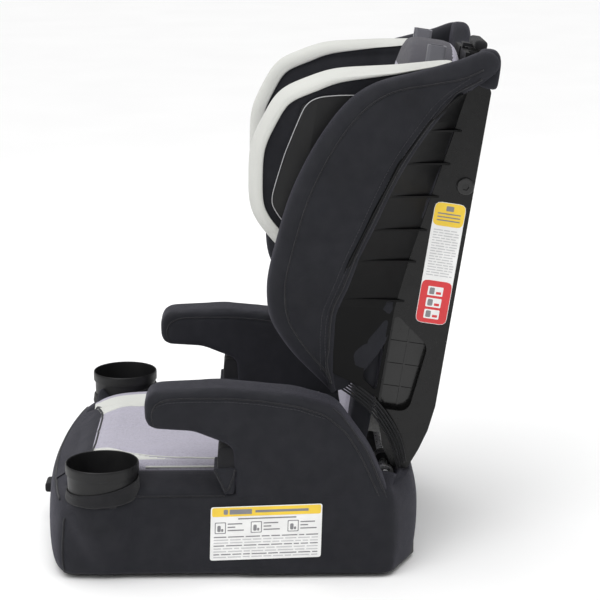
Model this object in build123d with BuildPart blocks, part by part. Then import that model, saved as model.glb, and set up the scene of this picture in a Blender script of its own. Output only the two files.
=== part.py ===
"""High-back booster seat: a covered base with armrests and two cups, a winged
backrest that reclines on the base, and a headrest that slides up the backrest."""

import os
from math import atan2, cos, degrees, hypot, radians, sin

from build123d import *

os.makedirs("parts", exist_ok=True)

# Row frame: origin on the floor under the base, +Z up, the child faces -Y and
# +X is the child's left. All sizes are millimetres, all angles degrees.

# ---- Base ----
BASE_WIDTH = 432
SIDE_FRONT = 208  # the side panels run from here in front of the origin
SIDE_REAR = 188  # to here behind it
NOSE_BULGE = 24  # the seat's front stands this far ahead of the side panels
REAR_BULGE = 31
REAR_FLAT = 300
CORNER_RADIUS = 20
HEM_HEIGHT = 6
DECK_HEIGHT = 84
SIDE_HEIGHT = 108
SEAT_HEIGHT = 118
SEAT_CENTRE_WIDTH = 236
SEAT_REAR = 116
COVER_THICKNESS = 5
WALL = 3
SOFT_GAP = 0.3
WELL_REAR = 188  # rear edge of the well that the backrest stands in
LIP_HEIGHT = 96

# ---- Armrests ----
ARM_WIDTH = 56
ARM_FRONT = -104
ARM_COLUMN_FRONT = 0
ARM_TIP_TOP = 228
ARM_UNDERSIDE = 184
ARM_REAR_TOP = 210
ARM_PAD = 8
ARM_GAP = 2  # between the seat's edge and the armrest

# ---- Cups ----
CUP_INSET = 21  # cup axis in from the base's side
CUP_SETBACK = 52  # and back from its front corner
CUP_RADIUS = 40.5
CUP_WALL = 2.2
CUP_RIM = 2.5  # the rim stands out this far from the body
CUP_RIM_HEIGHT = 12
CUP_FLOOR = 65
CUP_HEIGHT = 75
COLLAR_BOTTOM = 96
COLLAR_HEIGHT = 24

# ---- Recline hinge and the backrest's own frame ----
HINGE_Y = 178
HINGE_Z = 108
BACK_TILT = 8.8
ROD_RADIUS = 5
ROD_CLEARANCE = 0.06
LUG_X = 100
LUG_WIDTH = 18
LUG_WALL = 7

# ---- Backrest (u across, v rearwards, w up the back, from the hinge) ----
BACK_HEIGHT = 478
CHANNEL_INSET = 18  # channel's side in from the seat's edge
REAR_V = 47
WEB_V = 34
PAD_FRONT_V = -52
PAD_WIDTH = 200
PAD_TOP = 296
FOAM_FRONT_V = -24
FOAM_REAR_V = 8
WING_INSET = 13  # wing's outer face in from the base's side
WING_THICKNESS = 34
RIB_DROPS = (60, 100, 140, 181, 220, 269)  # below the backrest's top
RIB_THICKNESS = 2.2
RIB_REACH = 9

# ---- Headrest ----
HEAD_WIDTH = 330
HEAD_BAND = 16
HEAD_PAD_WIDTH = 168
HEAD_PAD_FRONT_V = -49
HEAD_PAD_BOTTOM = 300
HEAD_PAD_TOP = 508
TONGUE_V = 20
TONGUE_THICKNESS = 5
TONGUE_WIDTH = 120
TONGUE_BOTTOM = 178

# ---- Height lock ----
RACK_X = 40
RACK_WIDTH = 12
RACK_DEPTH = 6
RACK_PITCH = 27
RACK_STEPS = 8
LOCK_RADIUS = 3
LOCK_W = 215
LOCK_GAP = 0.4
LOCK_STROKE = 5
PULL_STROKE = 12
STRIP_WIDTH = 12

TILT = radians(BACK_TILT)
HALF_BASE = BASE_WIDTH / 2
HALF_SEAT = HALF_BASE - ARM_WIDTH - ARM_GAP
HALF_CHANNEL = HALF_SEAT - CHANNEL_INSET
WING_OUTER = HALF_BASE - WING_INSET
WING_INNER = WING_OUTER - WING_THICKNESS
HALF_HEAD = HEAD_WIDTH / 2
CUP_X = HALF_BASE - CUP_INSET
CUP_Y = -SIDE_FRONT + CUP_SETBACK
CUP_RIM_RADIUS = CUP_RADIUS + CUP_RIM
TONGUE_REAR = TONGUE_V + TONGUE_THICKNESS
HINGE_POINT = (0, HINGE_Y, HINGE_Z)
REARWARD = (0, cos(TILT), -sin(TILT))
UPWARD = (0, sin(TILT), cos(TILT))
BACK = Plane(origin=HINGE_POINT, x_dir=(1, 0, 0), z_dir=UPWARD)


def write(part, label):
    """Name a finished piece and save it."""
    part.label = label
    export_step(part, f"parts/{label}.step")


def write_pair(left, label):
    """Save a left-hand piece and its mirror image."""
    write(left, f"{label}_left")
    with BuildPart() as right:
        mirror(left, about=Plane.YZ)
    write(right.part, f"{label}_right")


def block(x, y, z, mode=Mode.ADD):
    """A box between pairs of limits in the row frame."""
    with Locations((sum(x) / 2, sum(y) / 2, sum(z) / 2)):
        Box(x[1] - x[0], y[1] - y[0], z[1] - z[0], mode=mode)


def back_block(u, v, w, mode=Mode.ADD):
    """A box between pairs of limits in the backrest's frame."""
    with Locations(BACK):
        with Locations((sum(u) / 2, sum(v) / 2, sum(w) / 2)):
            Box(u[1] - u[0], v[1] - v[0], w[1] - w[0], mode=mode)


def back_side(u):
    """The plane at u whose sketch axes are v and w; extrusion goes towards +X."""
    return Plane(origin=(u, HINGE_Y, HINGE_Z), x_dir=REARWARD, z_dir=(1, 0, 0))


def back_front(v):
    """The plane at v whose sketch axes are u and w; extrusion goes forwards."""
    origin = (0, HINGE_Y + v * cos(TILT), HINGE_Z - v * sin(TILT))
    return Plane(origin=origin, x_dir=(1, 0, 0), z_dir=(0, -cos(TILT), sin(TILT)))


def outline(points, radii, inset=0):
    """A closed polygon with rounded corners, drawn smaller by inset."""
    with BuildSketch() as shape:
        with BuildLine():
            FilletPolyline(*points, radius=radii, close=True)
        make_face()
        if inset:
            offset(amount=-inset, mode=Mode.REPLACE)
    return shape.sketch


# ======================= Base =======================


def base_outline(inset=0):
    """Plan of the base: bowed front, straight sides, bulged rear."""
    half = HALF_BASE - inset
    front = -SIDE_FRONT + inset
    rear = SIDE_REAR - inset
    tail = rear + REAR_BULGE
    flat = REAR_FLAT / 2 - inset / 2
    with BuildSketch() as shape:
        with BuildLine():
            ThreePointArc((-half, front), (0, front - NOSE_BULGE), (half, front))
            Polyline((half, front), (half, rear), (flat, tail), (-flat, tail), (-half, rear), (-half, front))
        make_face()
        fillet(shape.vertices(), radius=CORNER_RADIUS - inset)
    return shape.sketch


CUP_PLACES = [(CUP_X, CUP_Y), (-CUP_X, CUP_Y)]
LOBE_FOOT = 12


def cup_cylinders(radius, bottom, top, mode=Mode.ADD):
    """Two upright cylinders on the cups' axes."""
    with Locations([(x, y, bottom) for x, y in CUP_PLACES]):
        Cylinder(radius, top - bottom, align=(Align.CENTER, Align.CENTER, Align.MIN), mode=mode)


def cup_cones(radius, bottom, top, mode=Mode.ADD):
    """Two cones that widen from the side panel to the cup."""
    foot_radius = radius - CUP_RIM_RADIUS + HALF_BASE - CUP_X
    with Locations([(x, y, bottom) for x, y in CUP_PLACES]):
        Cone(foot_radius, radius, top - bottom, align=(Align.CENTER, Align.CENTER, Align.MIN), mode=mode)


SHELL_BOTTOM = HEM_HEIGHT + WALL
SHELF_RADIUS = CUP_RADIUS - 1.5
SOCKET_RADIUS = CUP_RADIUS + 0.5

with BuildPart() as shell_hollow:
    with BuildSketch():
        add(base_outline(COVER_THICKNESS + WALL))
    extrude(amount=DECK_HEIGHT - WALL)
    cup_cones(SHELF_RADIUS - WALL, LOBE_FOOT, CUP_FLOOR - WALL)
    cup_cylinders(SOCKET_RADIUS + WALL, CUP_FLOOR - WALL, DECK_HEIGHT, mode=Mode.SUBTRACT)

with BuildPart() as base_shell:
    with BuildSketch(Plane.XY.offset(SHELL_BOTTOM)):
        add(base_outline(COVER_THICKNESS))
    extrude(amount=DECK_HEIGHT - SHELL_BOTTOM)
    cup_cones(SHELF_RADIUS, LOBE_FOOT, CUP_FLOOR)
    add(shell_hollow.part, mode=Mode.SUBTRACT)
    cup_cylinders(SOCKET_RADIUS, CUP_FLOOR, DECK_HEIGHT + 1, mode=Mode.SUBTRACT)
write(base_shell.part, "base_shell")

KEEL_HALF = HALF_BASE - 36
KEEL_FRONT = -SIDE_FRONT + 90
KEEL_REAR = SIDE_REAR - 40

with BuildPart() as base_tray:
    with BuildSketch(Plane.XY.offset(HEM_HEIGHT)):
        add(base_outline(COVER_THICKNESS))
    extrude(amount=WALL)
    with BuildSketch():
        with Locations((0, (KEEL_FRONT + KEEL_REAR) / 2)):
            RectangleRounded(2 * KEEL_HALF, KEEL_REAR - KEEL_FRONT, CORNER_RADIUS)
    extrude(amount=HEM_HEIGHT)
write(base_tray.part, "base_tray")

FOOT_FRONT = KEEL_FRONT - 50
FOOT_REAR = KEEL_FRONT - 10
FOOT_X = HALF_BASE - 61

with BuildPart() as base_feet:
    with BuildSketch():
        with Locations([(side * FOOT_X, (FOOT_FRONT + FOOT_REAR) / 2) for side in (1, -1)]):
            RectangleRounded(60, FOOT_REAR - FOOT_FRONT, 8)
    extrude(amount=HEM_HEIGHT)
    fillet(base_feet.faces().sort_by(Axis.Z)[0].edges(), radius=0.8)
write(base_feet.part, "base_feet")


ARM_POINTS = (
    (ARM_COLUMN_FRONT, DECK_HEIGHT),
    (ARM_COLUMN_FRONT - 4, ARM_UNDERSIDE - 22),
    (-48, ARM_UNDERSIDE - 4),
    (ARM_FRONT, ARM_UNDERSIDE),
    (ARM_FRONT, ARM_TIP_TOP),
    (-18, ARM_TIP_TOP + 4),
    (70, ARM_TIP_TOP - 5),
    (118, ARM_REAR_TOP),
    (158, ARM_REAR_TOP - 57),
    (182, DECK_HEIGHT),
)
ARM_RADII = (0, 10, 30, 9, 17, 90, 60, 34, 120, 0)
ARM_OUTER = HALF_BASE
ARM_INNER = HALF_BASE - ARM_WIDTH


def arm_solid(inset, inner, outer, bottom):
    """The armrest's side profile between two widths, cut off level at the bottom."""
    with BuildPart() as arm:
        with BuildSketch(Plane.YZ.offset(inner)):
            add(outline(ARM_POINTS, ARM_RADII, inset))
        extrude(amount=outer - inner)
        block((0, 300), (-300, 300), (0, bottom), mode=Mode.SUBTRACT)
    return arm.part


FRAME_INNER = ARM_INNER + ARM_PAD
FRAME_OUTER = ARM_OUTER - ARM_PAD
frame_foot = arm_solid(ARM_PAD, FRAME_INNER, FRAME_OUTER, DECK_HEIGHT)
frame_pocket = arm_solid(ARM_PAD - SOFT_GAP, FRAME_INNER - SOFT_GAP, FRAME_OUTER + SOFT_GAP, DECK_HEIGHT)

with BuildPart() as armrest_frame:
    add(frame_foot)
    hollow = arm_solid(ARM_PAD + WALL, FRAME_INNER - 1, FRAME_OUTER - WALL, DECK_HEIGHT + ARM_PAD + WALL)
    add(hollow, mode=Mode.SUBTRACT)
write_pair(armrest_frame.part, "armrest_frame")

with BuildPart() as armrest_cover:
    add(arm_solid(0, ARM_INNER, ARM_OUTER, SIDE_HEIGHT + SOFT_GAP))
    rims = armrest_cover.faces().filter_by(Axis.X).edges().filter_by(lambda e: e.center().Z > SIDE_HEIGHT + 2)
    fillet(rims, radius=6)
    add(frame_pocket, mode=Mode.SUBTRACT)
write_pair(armrest_cover.part, "armrest_cover")

with BuildPart() as base_cover:
    with BuildSketch(Plane.XY.offset(HEM_HEIGHT)):
        add(base_outline())
    extrude(amount=SIDE_HEIGHT - HEM_HEIGHT)
    fillet(base_cover.faces().sort_by(Axis.Z)[-1].edges(), radius=14)
    cup_cones(CUP_RIM_RADIUS + 0.5, LOBE_FOOT, CUP_FLOOR)
    cup_cylinders(CUP_RIM_RADIUS + 0.5, CUP_FLOOR, COLLAR_BOTTOM)
    with BuildSketch():
        add(base_outline(COVER_THICKNESS - SOFT_GAP))
    extrude(amount=DECK_HEIGHT + SOFT_GAP, mode=Mode.SUBTRACT)
    seat_half = HALF_SEAT + SOFT_GAP
    block((-seat_half, seat_half), (-300, WELL_REAR), (DECK_HEIGHT, 200), mode=Mode.SUBTRACT)
    block((-seat_half, seat_half), (WELL_REAR - 1, 300), (LIP_HEIGHT, 200), mode=Mode.SUBTRACT)
    cup_cones(SHELF_RADIUS + SOFT_GAP, LOBE_FOOT, CUP_FLOOR + SOFT_GAP, mode=Mode.SUBTRACT)
    cup_cylinders(CUP_RADIUS + SOFT_GAP, CUP_FLOOR, 200, mode=Mode.SUBTRACT)
    cup_cylinders(CUP_RIM_RADIUS + 2 * SOFT_GAP, COLLAR_BOTTOM, 200, mode=Mode.SUBTRACT)
    add(frame_pocket, mode=Mode.SUBTRACT)
    add(mirror(frame_pocket, about=Plane.YZ, mode=Mode.PRIVATE), mode=Mode.SUBTRACT)
write(base_cover.part, "base_cover")

FOAM_FRONT = -SIDE_FRONT + 22
FOAM_HALF = min(HALF_SEAT - 6, CUP_X - CUP_RIM_RADIUS)
FOAM_TOP = SEAT_HEIGHT - 18

with BuildPart() as seat_foam:
    with BuildSketch(Plane.XY.offset(DECK_HEIGHT)):
        with Locations((0, (FOAM_FRONT + SEAT_REAR - 4) / 2)):
            RectangleRounded(2 * FOAM_HALF, SEAT_REAR - 4 - FOAM_FRONT, 12)
    extrude(amount=FOAM_TOP - DECK_HEIGHT)
write(seat_foam.part, "seat_foam")


def seat_slab(inner, outer):
    """The seat's soft top between two widths, with the foam's space cut out below."""
    with BuildPart() as slab:
        with BuildSketch(Plane.XY.offset(DECK_HEIGHT + 2 * SOFT_GAP)):
            add(base_outline())
        extrude(amount=SEAT_HEIGHT - DECK_HEIGHT - 2 * SOFT_GAP)
        nose = slab.edges().filter_by(lambda e: e.center().Z > SEAT_HEIGHT - 1).sort_by(Axis.Y)[0]
        fillet(nose, radius=16)
        block((inner, outer), (-300, SEAT_REAR), (0, 200), mode=Mode.INTERSECT)
        foam_half = FOAM_HALF + SOFT_GAP
        block((-foam_half, foam_half), (FOAM_FRONT - SOFT_GAP, 200), (0, FOAM_TOP + SOFT_GAP), mode=Mode.SUBTRACT)
        cup_cylinders(CUP_RIM_RADIUS + 2 * SOFT_GAP, DECK_HEIGHT, 200, mode=Mode.SUBTRACT)
    return slab.part


write(seat_slab(-SEAT_CENTRE_WIDTH / 2, SEAT_CENTRE_WIDTH / 2), "seat_pad")
write_pair(seat_slab(SEAT_CENTRE_WIDTH / 2 + SOFT_GAP, HALF_SEAT), "seat_bolster")

with BuildPart() as cup:
    with Locations((CUP_X, CUP_Y, CUP_FLOOR)):
        Cylinder(CUP_RADIUS, CUP_HEIGHT, align=(Align.CENTER, Align.CENTER, Align.MIN))
    fillet(cup.faces().sort_by(Axis.Z)[0].edges(), radius=5)
    with Locations((CUP_X, CUP_Y, CUP_FLOOR + CUP_HEIGHT)):
        Cylinder(CUP_RIM_RADIUS, CUP_RIM_HEIGHT, align=(Align.CENTER, Align.CENTER, Align.MAX))
        Hole(CUP_RADIUS - CUP_WALL, depth=CUP_HEIGHT - WALL)
write_pair(cup.part, "cup")

with BuildPart() as cup_collar:
    with Locations((CUP_X, CUP_Y, COLLAR_BOTTOM)):
        Cylinder(CUP_RIM_RADIUS, COLLAR_HEIGHT, align=(Align.CENTER, Align.CENTER, Align.MIN))
        Cylinder(
            CUP_RADIUS + SOFT_GAP, COLLAR_HEIGHT, align=(Align.CENTER, Align.CENTER, Align.MIN), mode=Mode.SUBTRACT
        )
write_pair(cup_collar.part, "cup_collar")

# A dark gusset closes the corner between the armrest's column and the side panel.
GUSSET_DEPTH = 20
GUSSET_TOP = 150
with BuildPart() as notch_gusset:
    block(
        (ARM_INNER + 6, ARM_OUTER - 6),
        (ARM_COLUMN_FRONT - 4 - GUSSET_DEPTH, ARM_COLUMN_FRONT - 4 - SOFT_GAP),
        (SIDE_HEIGHT + SOFT_GAP, GUSSET_TOP),
    )
    fillet(notch_gusset.edges().filter_by(Axis.X), radius=3)
write_pair(notch_gusset.part, "notch_gusset")

PULL_TAB_LEVEL = 38
with BuildPart() as pull_tab:
    tab_front = -SIDE_FRONT - NOSE_BULGE - 13.5
    block((-14, 14), (tab_front, tab_front + 13), (PULL_TAB_LEVEL, PULL_TAB_LEVEL + 12))
    fillet(pull_tab.edges().filter_by(Axis.X), radius=3)
write(pull_tab.part, "pull_tab")

LABEL_THICKNESS = 0.6
with BuildPart() as side_label:
    block((HALF_BASE, HALF_BASE + LABEL_THICKNESS), (-30, 100), (26, 92))
    fillet(side_label.edges().filter_by(Axis.X), radius=4)
write(side_label.part, "side_label")

BRACKET_WIDTH = 8
ROD_HALF = HALF_SEAT - 6
LUG_RADIUS = ROD_RADIUS + LUG_WALL

with BuildPart() as hinge_rod:
    with BuildSketch(Plane.YZ.offset(-ROD_HALF)):
        with Locations((HINGE_Y, HINGE_Z)):
            Circle(ROD_RADIUS)
    extrude(amount=2 * ROD_HALF)
    chamfer(hinge_rod.edges(), length=0.8)
write(hinge_rod.part, "hinge_rod")

with BuildPart() as hinge_bracket:
    with BuildSketch(Plane.YZ.offset(ROD_HALF - BRACKET_WIDTH)):
        with Locations((HINGE_Y, HINGE_Z)):
            Circle(LUG_RADIUS - 2)
        with Locations((HINGE_Y - 8, (HINGE_Z + DECK_HEIGHT) / 2)):
            Rectangle(36, HINGE_Z - DECK_HEIGHT)
        with Locations((HINGE_Y, HINGE_Z)):
            Circle(ROD_RADIUS, mode=Mode.SUBTRACT)
    extrude(amount=BRACKET_WIDTH)
write_pair(hinge_bracket.part, "hinge_bracket")

SCREW_RADIUS = 4
with BuildPart() as base_screws:
    places = [(side * x, y) for side in (1, -1) for x, y in ((120, -80), (120, 100), (40, -80), (40, 100))]
    with Locations([(x, y, HEM_HEIGHT + WALL) for x, y in places]):
        Cylinder(SCREW_RADIUS, 5, align=(Align.CENTER, Align.CENTER, Align.MIN))
write(base_screws.part, "base_screws")


# ======================= Backrest =======================

SIDE_WALL_POINTS = (
    (26, 6),
    (36, 32),
    (43, 57),
    (REAR_V, 88),
    (REAR_V, BACK_HEIGHT - 4),
    (20, BACK_HEIGHT - 4),
    (12, 0.864 * BACK_HEIGHT),
    (-9, 0.611 * BACK_HEIGHT),
    (-21, 207),
    (-22, 75),
    (-8, 30),
    (8, 6),
)
POCKET_LOW = 76
POCKET_HIGH = 194
POCKET_V = (-19, 26)
LABEL_W = (188, 334)


def pocket_opening():
    """Side opening of the belt pocket, drawn in v and w."""
    points = (
        (POCKET_V[0], POCKET_LOW),
        (POCKET_V[1] - 10, POCKET_LOW),
        (POCKET_V[1], POCKET_HIGH - 34),
        (POCKET_V[0], POCKET_HIGH),
    )
    return outline(points, (4, 14, 16, 4))


with BuildPart() as back_shell:
    for u in (HALF_CHANNEL - WALL, -HALF_CHANNEL):
        with BuildSketch(back_side(u)):
            add(outline(SIDE_WALL_POINTS, (0, 10, 20, 30, 8, 4, 0, 0, 0, 20, 10, 8)))
        extrude(amount=WALL)
        with BuildSketch(back_side(u - 1)):
            add(pocket_opening())
        extrude(amount=WALL + 2, mode=Mode.SUBTRACT)
    inner = HALF_CHANNEL - WALL
    back_block((-inner, inner), (WEB_V, WEB_V + WALL), (40, BACK_HEIGHT - 12))
    for w in range(70, round(BACK_HEIGHT) - 40, 60):
        back_block((-inner, inner), (WEB_V + WALL, REAR_V - 2), (w, w + RIB_THICKNESS))
    for u in (-90, -60, 60, 90):
        back_block((u - 1, u + 1), (WEB_V + WALL, REAR_V - 4), (44, BACK_HEIGHT - 16))
    for u in (-LUG_X, LUG_X):
        with BuildSketch(back_side(u - LUG_WIDTH / 2)):
            Circle(LUG_RADIUS)
            with BuildLine():
                Polyline((0, LUG_RADIUS), (WEB_V, 74), (WEB_V, 40), (LUG_RADIUS, 0), (0, LUG_RADIUS))
            make_face()
            Circle(ROD_RADIUS + ROD_CLEARANCE, mode=Mode.SUBTRACT)
        extrude(amount=LUG_WIDTH)
write(back_shell.part, "back_shell")

# The belt pocket: a glossy dished panel behind the side opening.
with BuildPart() as belt_pocket:
    face = HALF_CHANNEL - WALL - 12
    back_block((face - 2, face), (POCKET_V[0] - 4, POCKET_V[1] + 4), (POCKET_LOW - 6, POCKET_HIGH + 4))
    for w in (POCKET_LOW + 24, POCKET_LOW + 52, POCKET_LOW + 80):
        back_block((face, face + 1.5), (POCKET_V[0], POCKET_V[1]), (w, w + 2))
    back_block((face, face + 1.5), (2, 4), (POCKET_LOW, POCKET_HIGH))
write_pair(belt_pocket.part, "belt_pocket")

# Wing frame stations: height as a share of the backrest, v of the root on the side wall,
# and the hem's u outside the side wall and its v.
WING_SHARES = (
    (0.159, -22, 12, -74),
    (0.272, -22, 22, -84),
    (0.418, -21, 34, -91),
    (0.544, -14, 46, -77),
    (0.669, -4, 50, -60),
    (0.795, 6, 50, -41),
    (0.900, 14, 45, -16),
    (0.975, 20, 35, 12),
)
WING_STATIONS = [(share * BACK_HEIGHT, root, HALF_CHANNEL + out, hem) for share, root, out, hem in WING_SHARES]


def wing_station(w):
    """Root v, hem u and hem v of the wing at height w, between its stations."""
    for low, high in zip(WING_STATIONS, WING_STATIONS[1:]):
        if low[0] <= w <= high[0]:
            share = (w - low[0]) / (high[0] - low[0])
            return [a + share * (b - a) for a, b in zip(low[1:], high[1:])]
    raise ValueError("no wing at this height")


def wing_strip(w, outer, inner, overrun):
    """Section of the wing frame at height w: a strip from the side wall past the hem."""
    root_v, hem_u, hem_v = wing_station(w)
    along_u = hem_u - HALF_CHANNEL
    along_v = hem_v - root_v
    length = hypot(along_u, along_v)
    along_u, along_v = along_u / length, along_v / length
    end = (hem_u + overrun * along_u, hem_v + overrun * along_v)
    points = (
        (HALF_CHANNEL, root_v + outer / along_u),
        (end[0] - outer * along_v, end[1] + outer * along_u),
        (end[0] + inner * along_v, end[1] - inner * along_u),
        (HALF_CHANNEL, root_v - inner / along_u),
    )
    with BuildSketch(BACK.offset(w)) as strip:
        with BuildLine():
            Polyline(*points, close=True)
        make_face()
    return strip.sketch


def wing_plate(outer, inner, overrun):
    """The wing frame's plate, lofted up its stations."""
    with BuildPart() as sheet:
        for low, high in zip(WING_STATIONS, WING_STATIONS[1:]):
            ends = [wing_strip(station[0], outer, inner, overrun) for station in (low, high)]
            loft(sections=ends, ruled=True)
    return sheet.part


HEM_OVERLAP = 12
WINDOW_POINTS = ((-45, 112), (-26, 96), (-26, 192), (-47, 160))
# The frame's lower edge slopes down to the hinge, just above the hem's elastic.
FRAME_EDGE = ((-110, 60), (-110, 128), (-84, 117), (-52, 104), (-21, 87), (-21, 60))

with BuildPart() as wing_frame:
    add(wing_plate(0, WALL, HEM_OVERLAP))
    for drop in RIB_DROPS:
        w = BACK_HEIGHT - drop
        root_v, hem_u, hem_v = wing_station(w)
        with BuildSketch(BACK.offset(w)):
            with BuildLine():
                Polyline(
                    (HALF_CHANNEL, root_v),
                    (hem_u, hem_v),
                    (HALF_CHANNEL, root_v + RIB_REACH),
                    (HALF_CHANNEL, root_v),
                )
            make_face()
        extrude(amount=RIB_THICKNESS)
    with BuildSketch(back_side(HALF_CHANNEL)):
        add(outline(WINDOW_POINTS, (6, 3, 3, 12)))
        with BuildLine():
            Polyline(*FRAME_EDGE, close=True)
        make_face()
    extrude(amount=60, mode=Mode.SUBTRACT)
write_pair(wing_frame.part, "wing_frame")

# Side view of the wing: v and height as a share of the backrest.
WING_SHAPE = (
    (-78, 0.192),
    (-98, 0.218),
    (-150, 0.314),
    (-177, 0.439),
    (-170, 0.628),
    (-140, 0.841),
    (-112, 0.946),
    (-60, 1.004),
    (5, 1.054),
    (22, 1.071),
    (22, 0.987),
    (14, 0.971),
    (-20, 0.889),
    (-54, 0.720),
    (-78, 0.548),
    (-92, 0.410),
    (-86, 0.272),
)
WING_POINTS = [(v, share * BACK_HEIGHT) for v, share in WING_SHAPE]
WING_RADII = (6, 8, 60, 40, 200, 120, 40, 60, 30, 6, 4, 6, 80, 80, 40, 16, 20)
# Front view of the wing, in u and w: it tucks in between the armrests at its foot.
WING_HEAD_LEVEL = 236
WING_FRONT_POINTS = (
    (WING_INNER, 2 * BACK_HEIGHT),
    (WING_INNER, WING_HEAD_LEVEL),
    (HALF_SEAT - 12, 180),
    (HALF_SEAT - 24, 80),
    (HALF_SEAT - 2, 80),
    (HALF_SEAT + 1, 130),
    (HALF_SEAT + 18, 180),
    (WING_OUTER - 6, 250),
    (WING_OUTER, 330),
    (WING_OUTER, 0.9 * BACK_HEIGHT),
    (WING_OUTER - 8, 1.004 * BACK_HEIGHT),
    (WING_OUTER - 18, 1.13 * BACK_HEIGHT),
    (WING_OUTER - 18, 2 * BACK_HEIGHT),
)

with BuildPart() as wing_cover:
    with BuildSketch(back_side(120)):
        add(outline(WING_POINTS, WING_RADII))
    extrude(amount=100)
    with BuildSketch(back_front(100)):
        with BuildLine():
            Polyline(*WING_FRONT_POINTS, close=True)
        make_face()
    extrude(amount=400, mode=Mode.INTERSECT)
    add(wing_plate(SOFT_GAP, WALL + SOFT_GAP, HEM_OVERLAP + SOFT_GAP), mode=Mode.SUBTRACT)
write_pair(wing_cover.part, "wing_cover")

# The cover wraps over the backrest's top between two raised shoulders.
COWL_LOW = BACK_HEIGHT - 11
COWL_CENTRE = BACK_HEIGHT + 16
COWL_SHOULDER = BACK_HEIGHT + 42
COWL_HALF = WING_OUTER - 13
COWL_POINTS = (
    (-COWL_HALF, COWL_LOW),
    (COWL_HALF, COWL_LOW),
    (COWL_HALF - 4, COWL_SHOULDER),
    (HALF_CHANNEL, COWL_SHOULDER),
    (HALF_CHANNEL - 28, COWL_CENTRE),
    (-HALF_CHANNEL + 28, COWL_CENTRE),
    (-HALF_CHANNEL, COWL_SHOULDER),
    (-COWL_HALF + 4, COWL_SHOULDER),
)
COWL_FRONT_V = TONGUE_REAR + 1

with BuildPart() as top_cowl:
    with BuildSketch(back_front(REAR_V + 1)):
        add(outline(COWL_POINTS, (6, 6, 14, 20, 20, 20, 20, 14)))
    extrude(amount=REAR_V + 1 - COWL_FRONT_V)
    back_block((-HALF_CHANNEL - 1, HALF_CHANNEL + 1), (0, 60), (BACK_HEIGHT - 78, BACK_HEIGHT - 3), mode=Mode.SUBTRACT)
write(top_cowl.part, "top_cowl")

with BuildPart() as back_foam:
    half = PAD_WIDTH / 2
    back_block((-half, half), (FOAM_FRONT_V, FOAM_REAR_V), (34, PAD_TOP))
    back_block((-56, 56), (FOAM_REAR_V - 1, WEB_V), (82, 140))
write(back_foam.part, "back_foam")

with BuildPart() as back_pad:
    half = PAD_WIDTH / 2
    back_block((-half, half), (PAD_FRONT_V, FOAM_FRONT_V - SOFT_GAP), (16, PAD_TOP))
    fillet(back_pad.edges().filter_by(Axis.X), radius=8)
write(back_pad.part, "back_pad")

BOLSTER_TOP = 228
with BuildPart() as back_bolster:
    inner = PAD_WIDTH / 2 + SOFT_GAP
    back_block((inner, HALF_CHANNEL - 1), (PAD_FRONT_V, -26), (24, BOLSTER_TOP))
    fillet(back_bolster.edges().filter_by(Axis.X), radius=6)
write_pair(back_bolster.part, "back_bolster")

RACK_LOW = 196
RACK_HIGH = LOCK_W + RACK_PITCH * (RACK_STEPS - 1) + 16
NOTCH_RADIUS = LOCK_RADIUS + 0.6

with BuildPart() as height_rack:
    back_block(
        (RACK_X - RACK_WIDTH / 2, RACK_X + RACK_WIDTH / 2), (WEB_V - RACK_DEPTH, WEB_V), (RACK_LOW, RACK_HIGH)
    )
    with BuildSketch(back_side(RACK_X - RACK_WIDTH)):
        with Locations([(WEB_V - RACK_DEPTH, LOCK_W + step * RACK_PITCH) for step in range(RACK_STEPS)]):
            Circle(NOTCH_RADIUS)
    extrude(amount=2 * RACK_WIDTH, mode=Mode.SUBTRACT)
write_pair(height_rack.part, "height_rack")


def screws(places, radius, v, length):
    """Screw heads on the rear of the backrest, at u and w."""
    with BuildPart() as heads:
        with BuildSketch(back_front(v)):
            with Locations(places):
                Circle(radius)
        extrude(amount=-length)
    return heads.part


rack_screw_places = [(side * RACK_X, w) for side in (1, -1) for w in (RACK_LOW + 20, RACK_HIGH - 36)]
write(screws(rack_screw_places, SCREW_RADIUS, WEB_V + WALL, 3), "rack_screws")

KNOB_V = 36
KNOB_W = 356
with BuildPart() as side_screw:
    with BuildSketch(back_side(HALF_CHANNEL)):
        with Locations((KNOB_V, KNOB_W)):
            Circle(10)
    extrude(amount=5)
    fillet(side_screw.faces().sort_by(Axis.X)[-1].edges(), radius=1.5)
    with BuildSketch(back_side(HALF_CHANNEL + 2)):
        with Locations((KNOB_V, KNOB_W)):
            RegularPolygon(4.5, 6)
    extrude(amount=5, mode=Mode.SUBTRACT)
write_pair(side_screw.part, "side_screw")

with BuildPart() as back_label:
    with BuildSketch(back_side(HALF_CHANNEL)):
        with Locations((23, (LABEL_W[0] + LABEL_W[1]) / 2)):
            RectangleRounded(38, LABEL_W[1] - LABEL_W[0], 9)
    extrude(amount=LABEL_THICKNESS)
write(back_label.part, "back_label")

ELASTIC_ROUTE = ((-73, 105), (-52, 95), (-26, 80), (-1, 53), (13, 29), (18, 12))
with BuildPart() as hem_elastic:
    with BuildSketch(back_side(HALF_CHANNEL + 5)):
        with BuildLine():
            upper = [(v + 4, w + 5) for v, w in ELASTIC_ROUTE]
            lower = [(v - 4, w - 5) for v, w in reversed(ELASTIC_ROUTE)]
            Polyline(*upper, *lower, close=True)
        make_face()
    extrude(amount=3)
write_pair(hem_elastic.part, "hem_elastic")


# ======================= Headrest =======================

HEAD_POINTS = ((8, 288), (-70, 256), (-150, 240), (-208, 290), (-219, 370), (-196, 436), (-140, 468), (8, 498))
HEAD_RADII = (5, 60, 35, 60, 80, 45, 90, 5)
HEAD_PLATE_POINTS = (
    (TONGUE_REAR, 316),
    (-70, 290),
    (-150, 276),
    (-186, 306),
    (-166, 424),
    (-146, 438),
    (-20, 458),
    (TONGUE_REAR, 462),
)
HEAD_PLATE_RADII = (3, 40, 20, 12, 6, 10, 40, 3)
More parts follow.
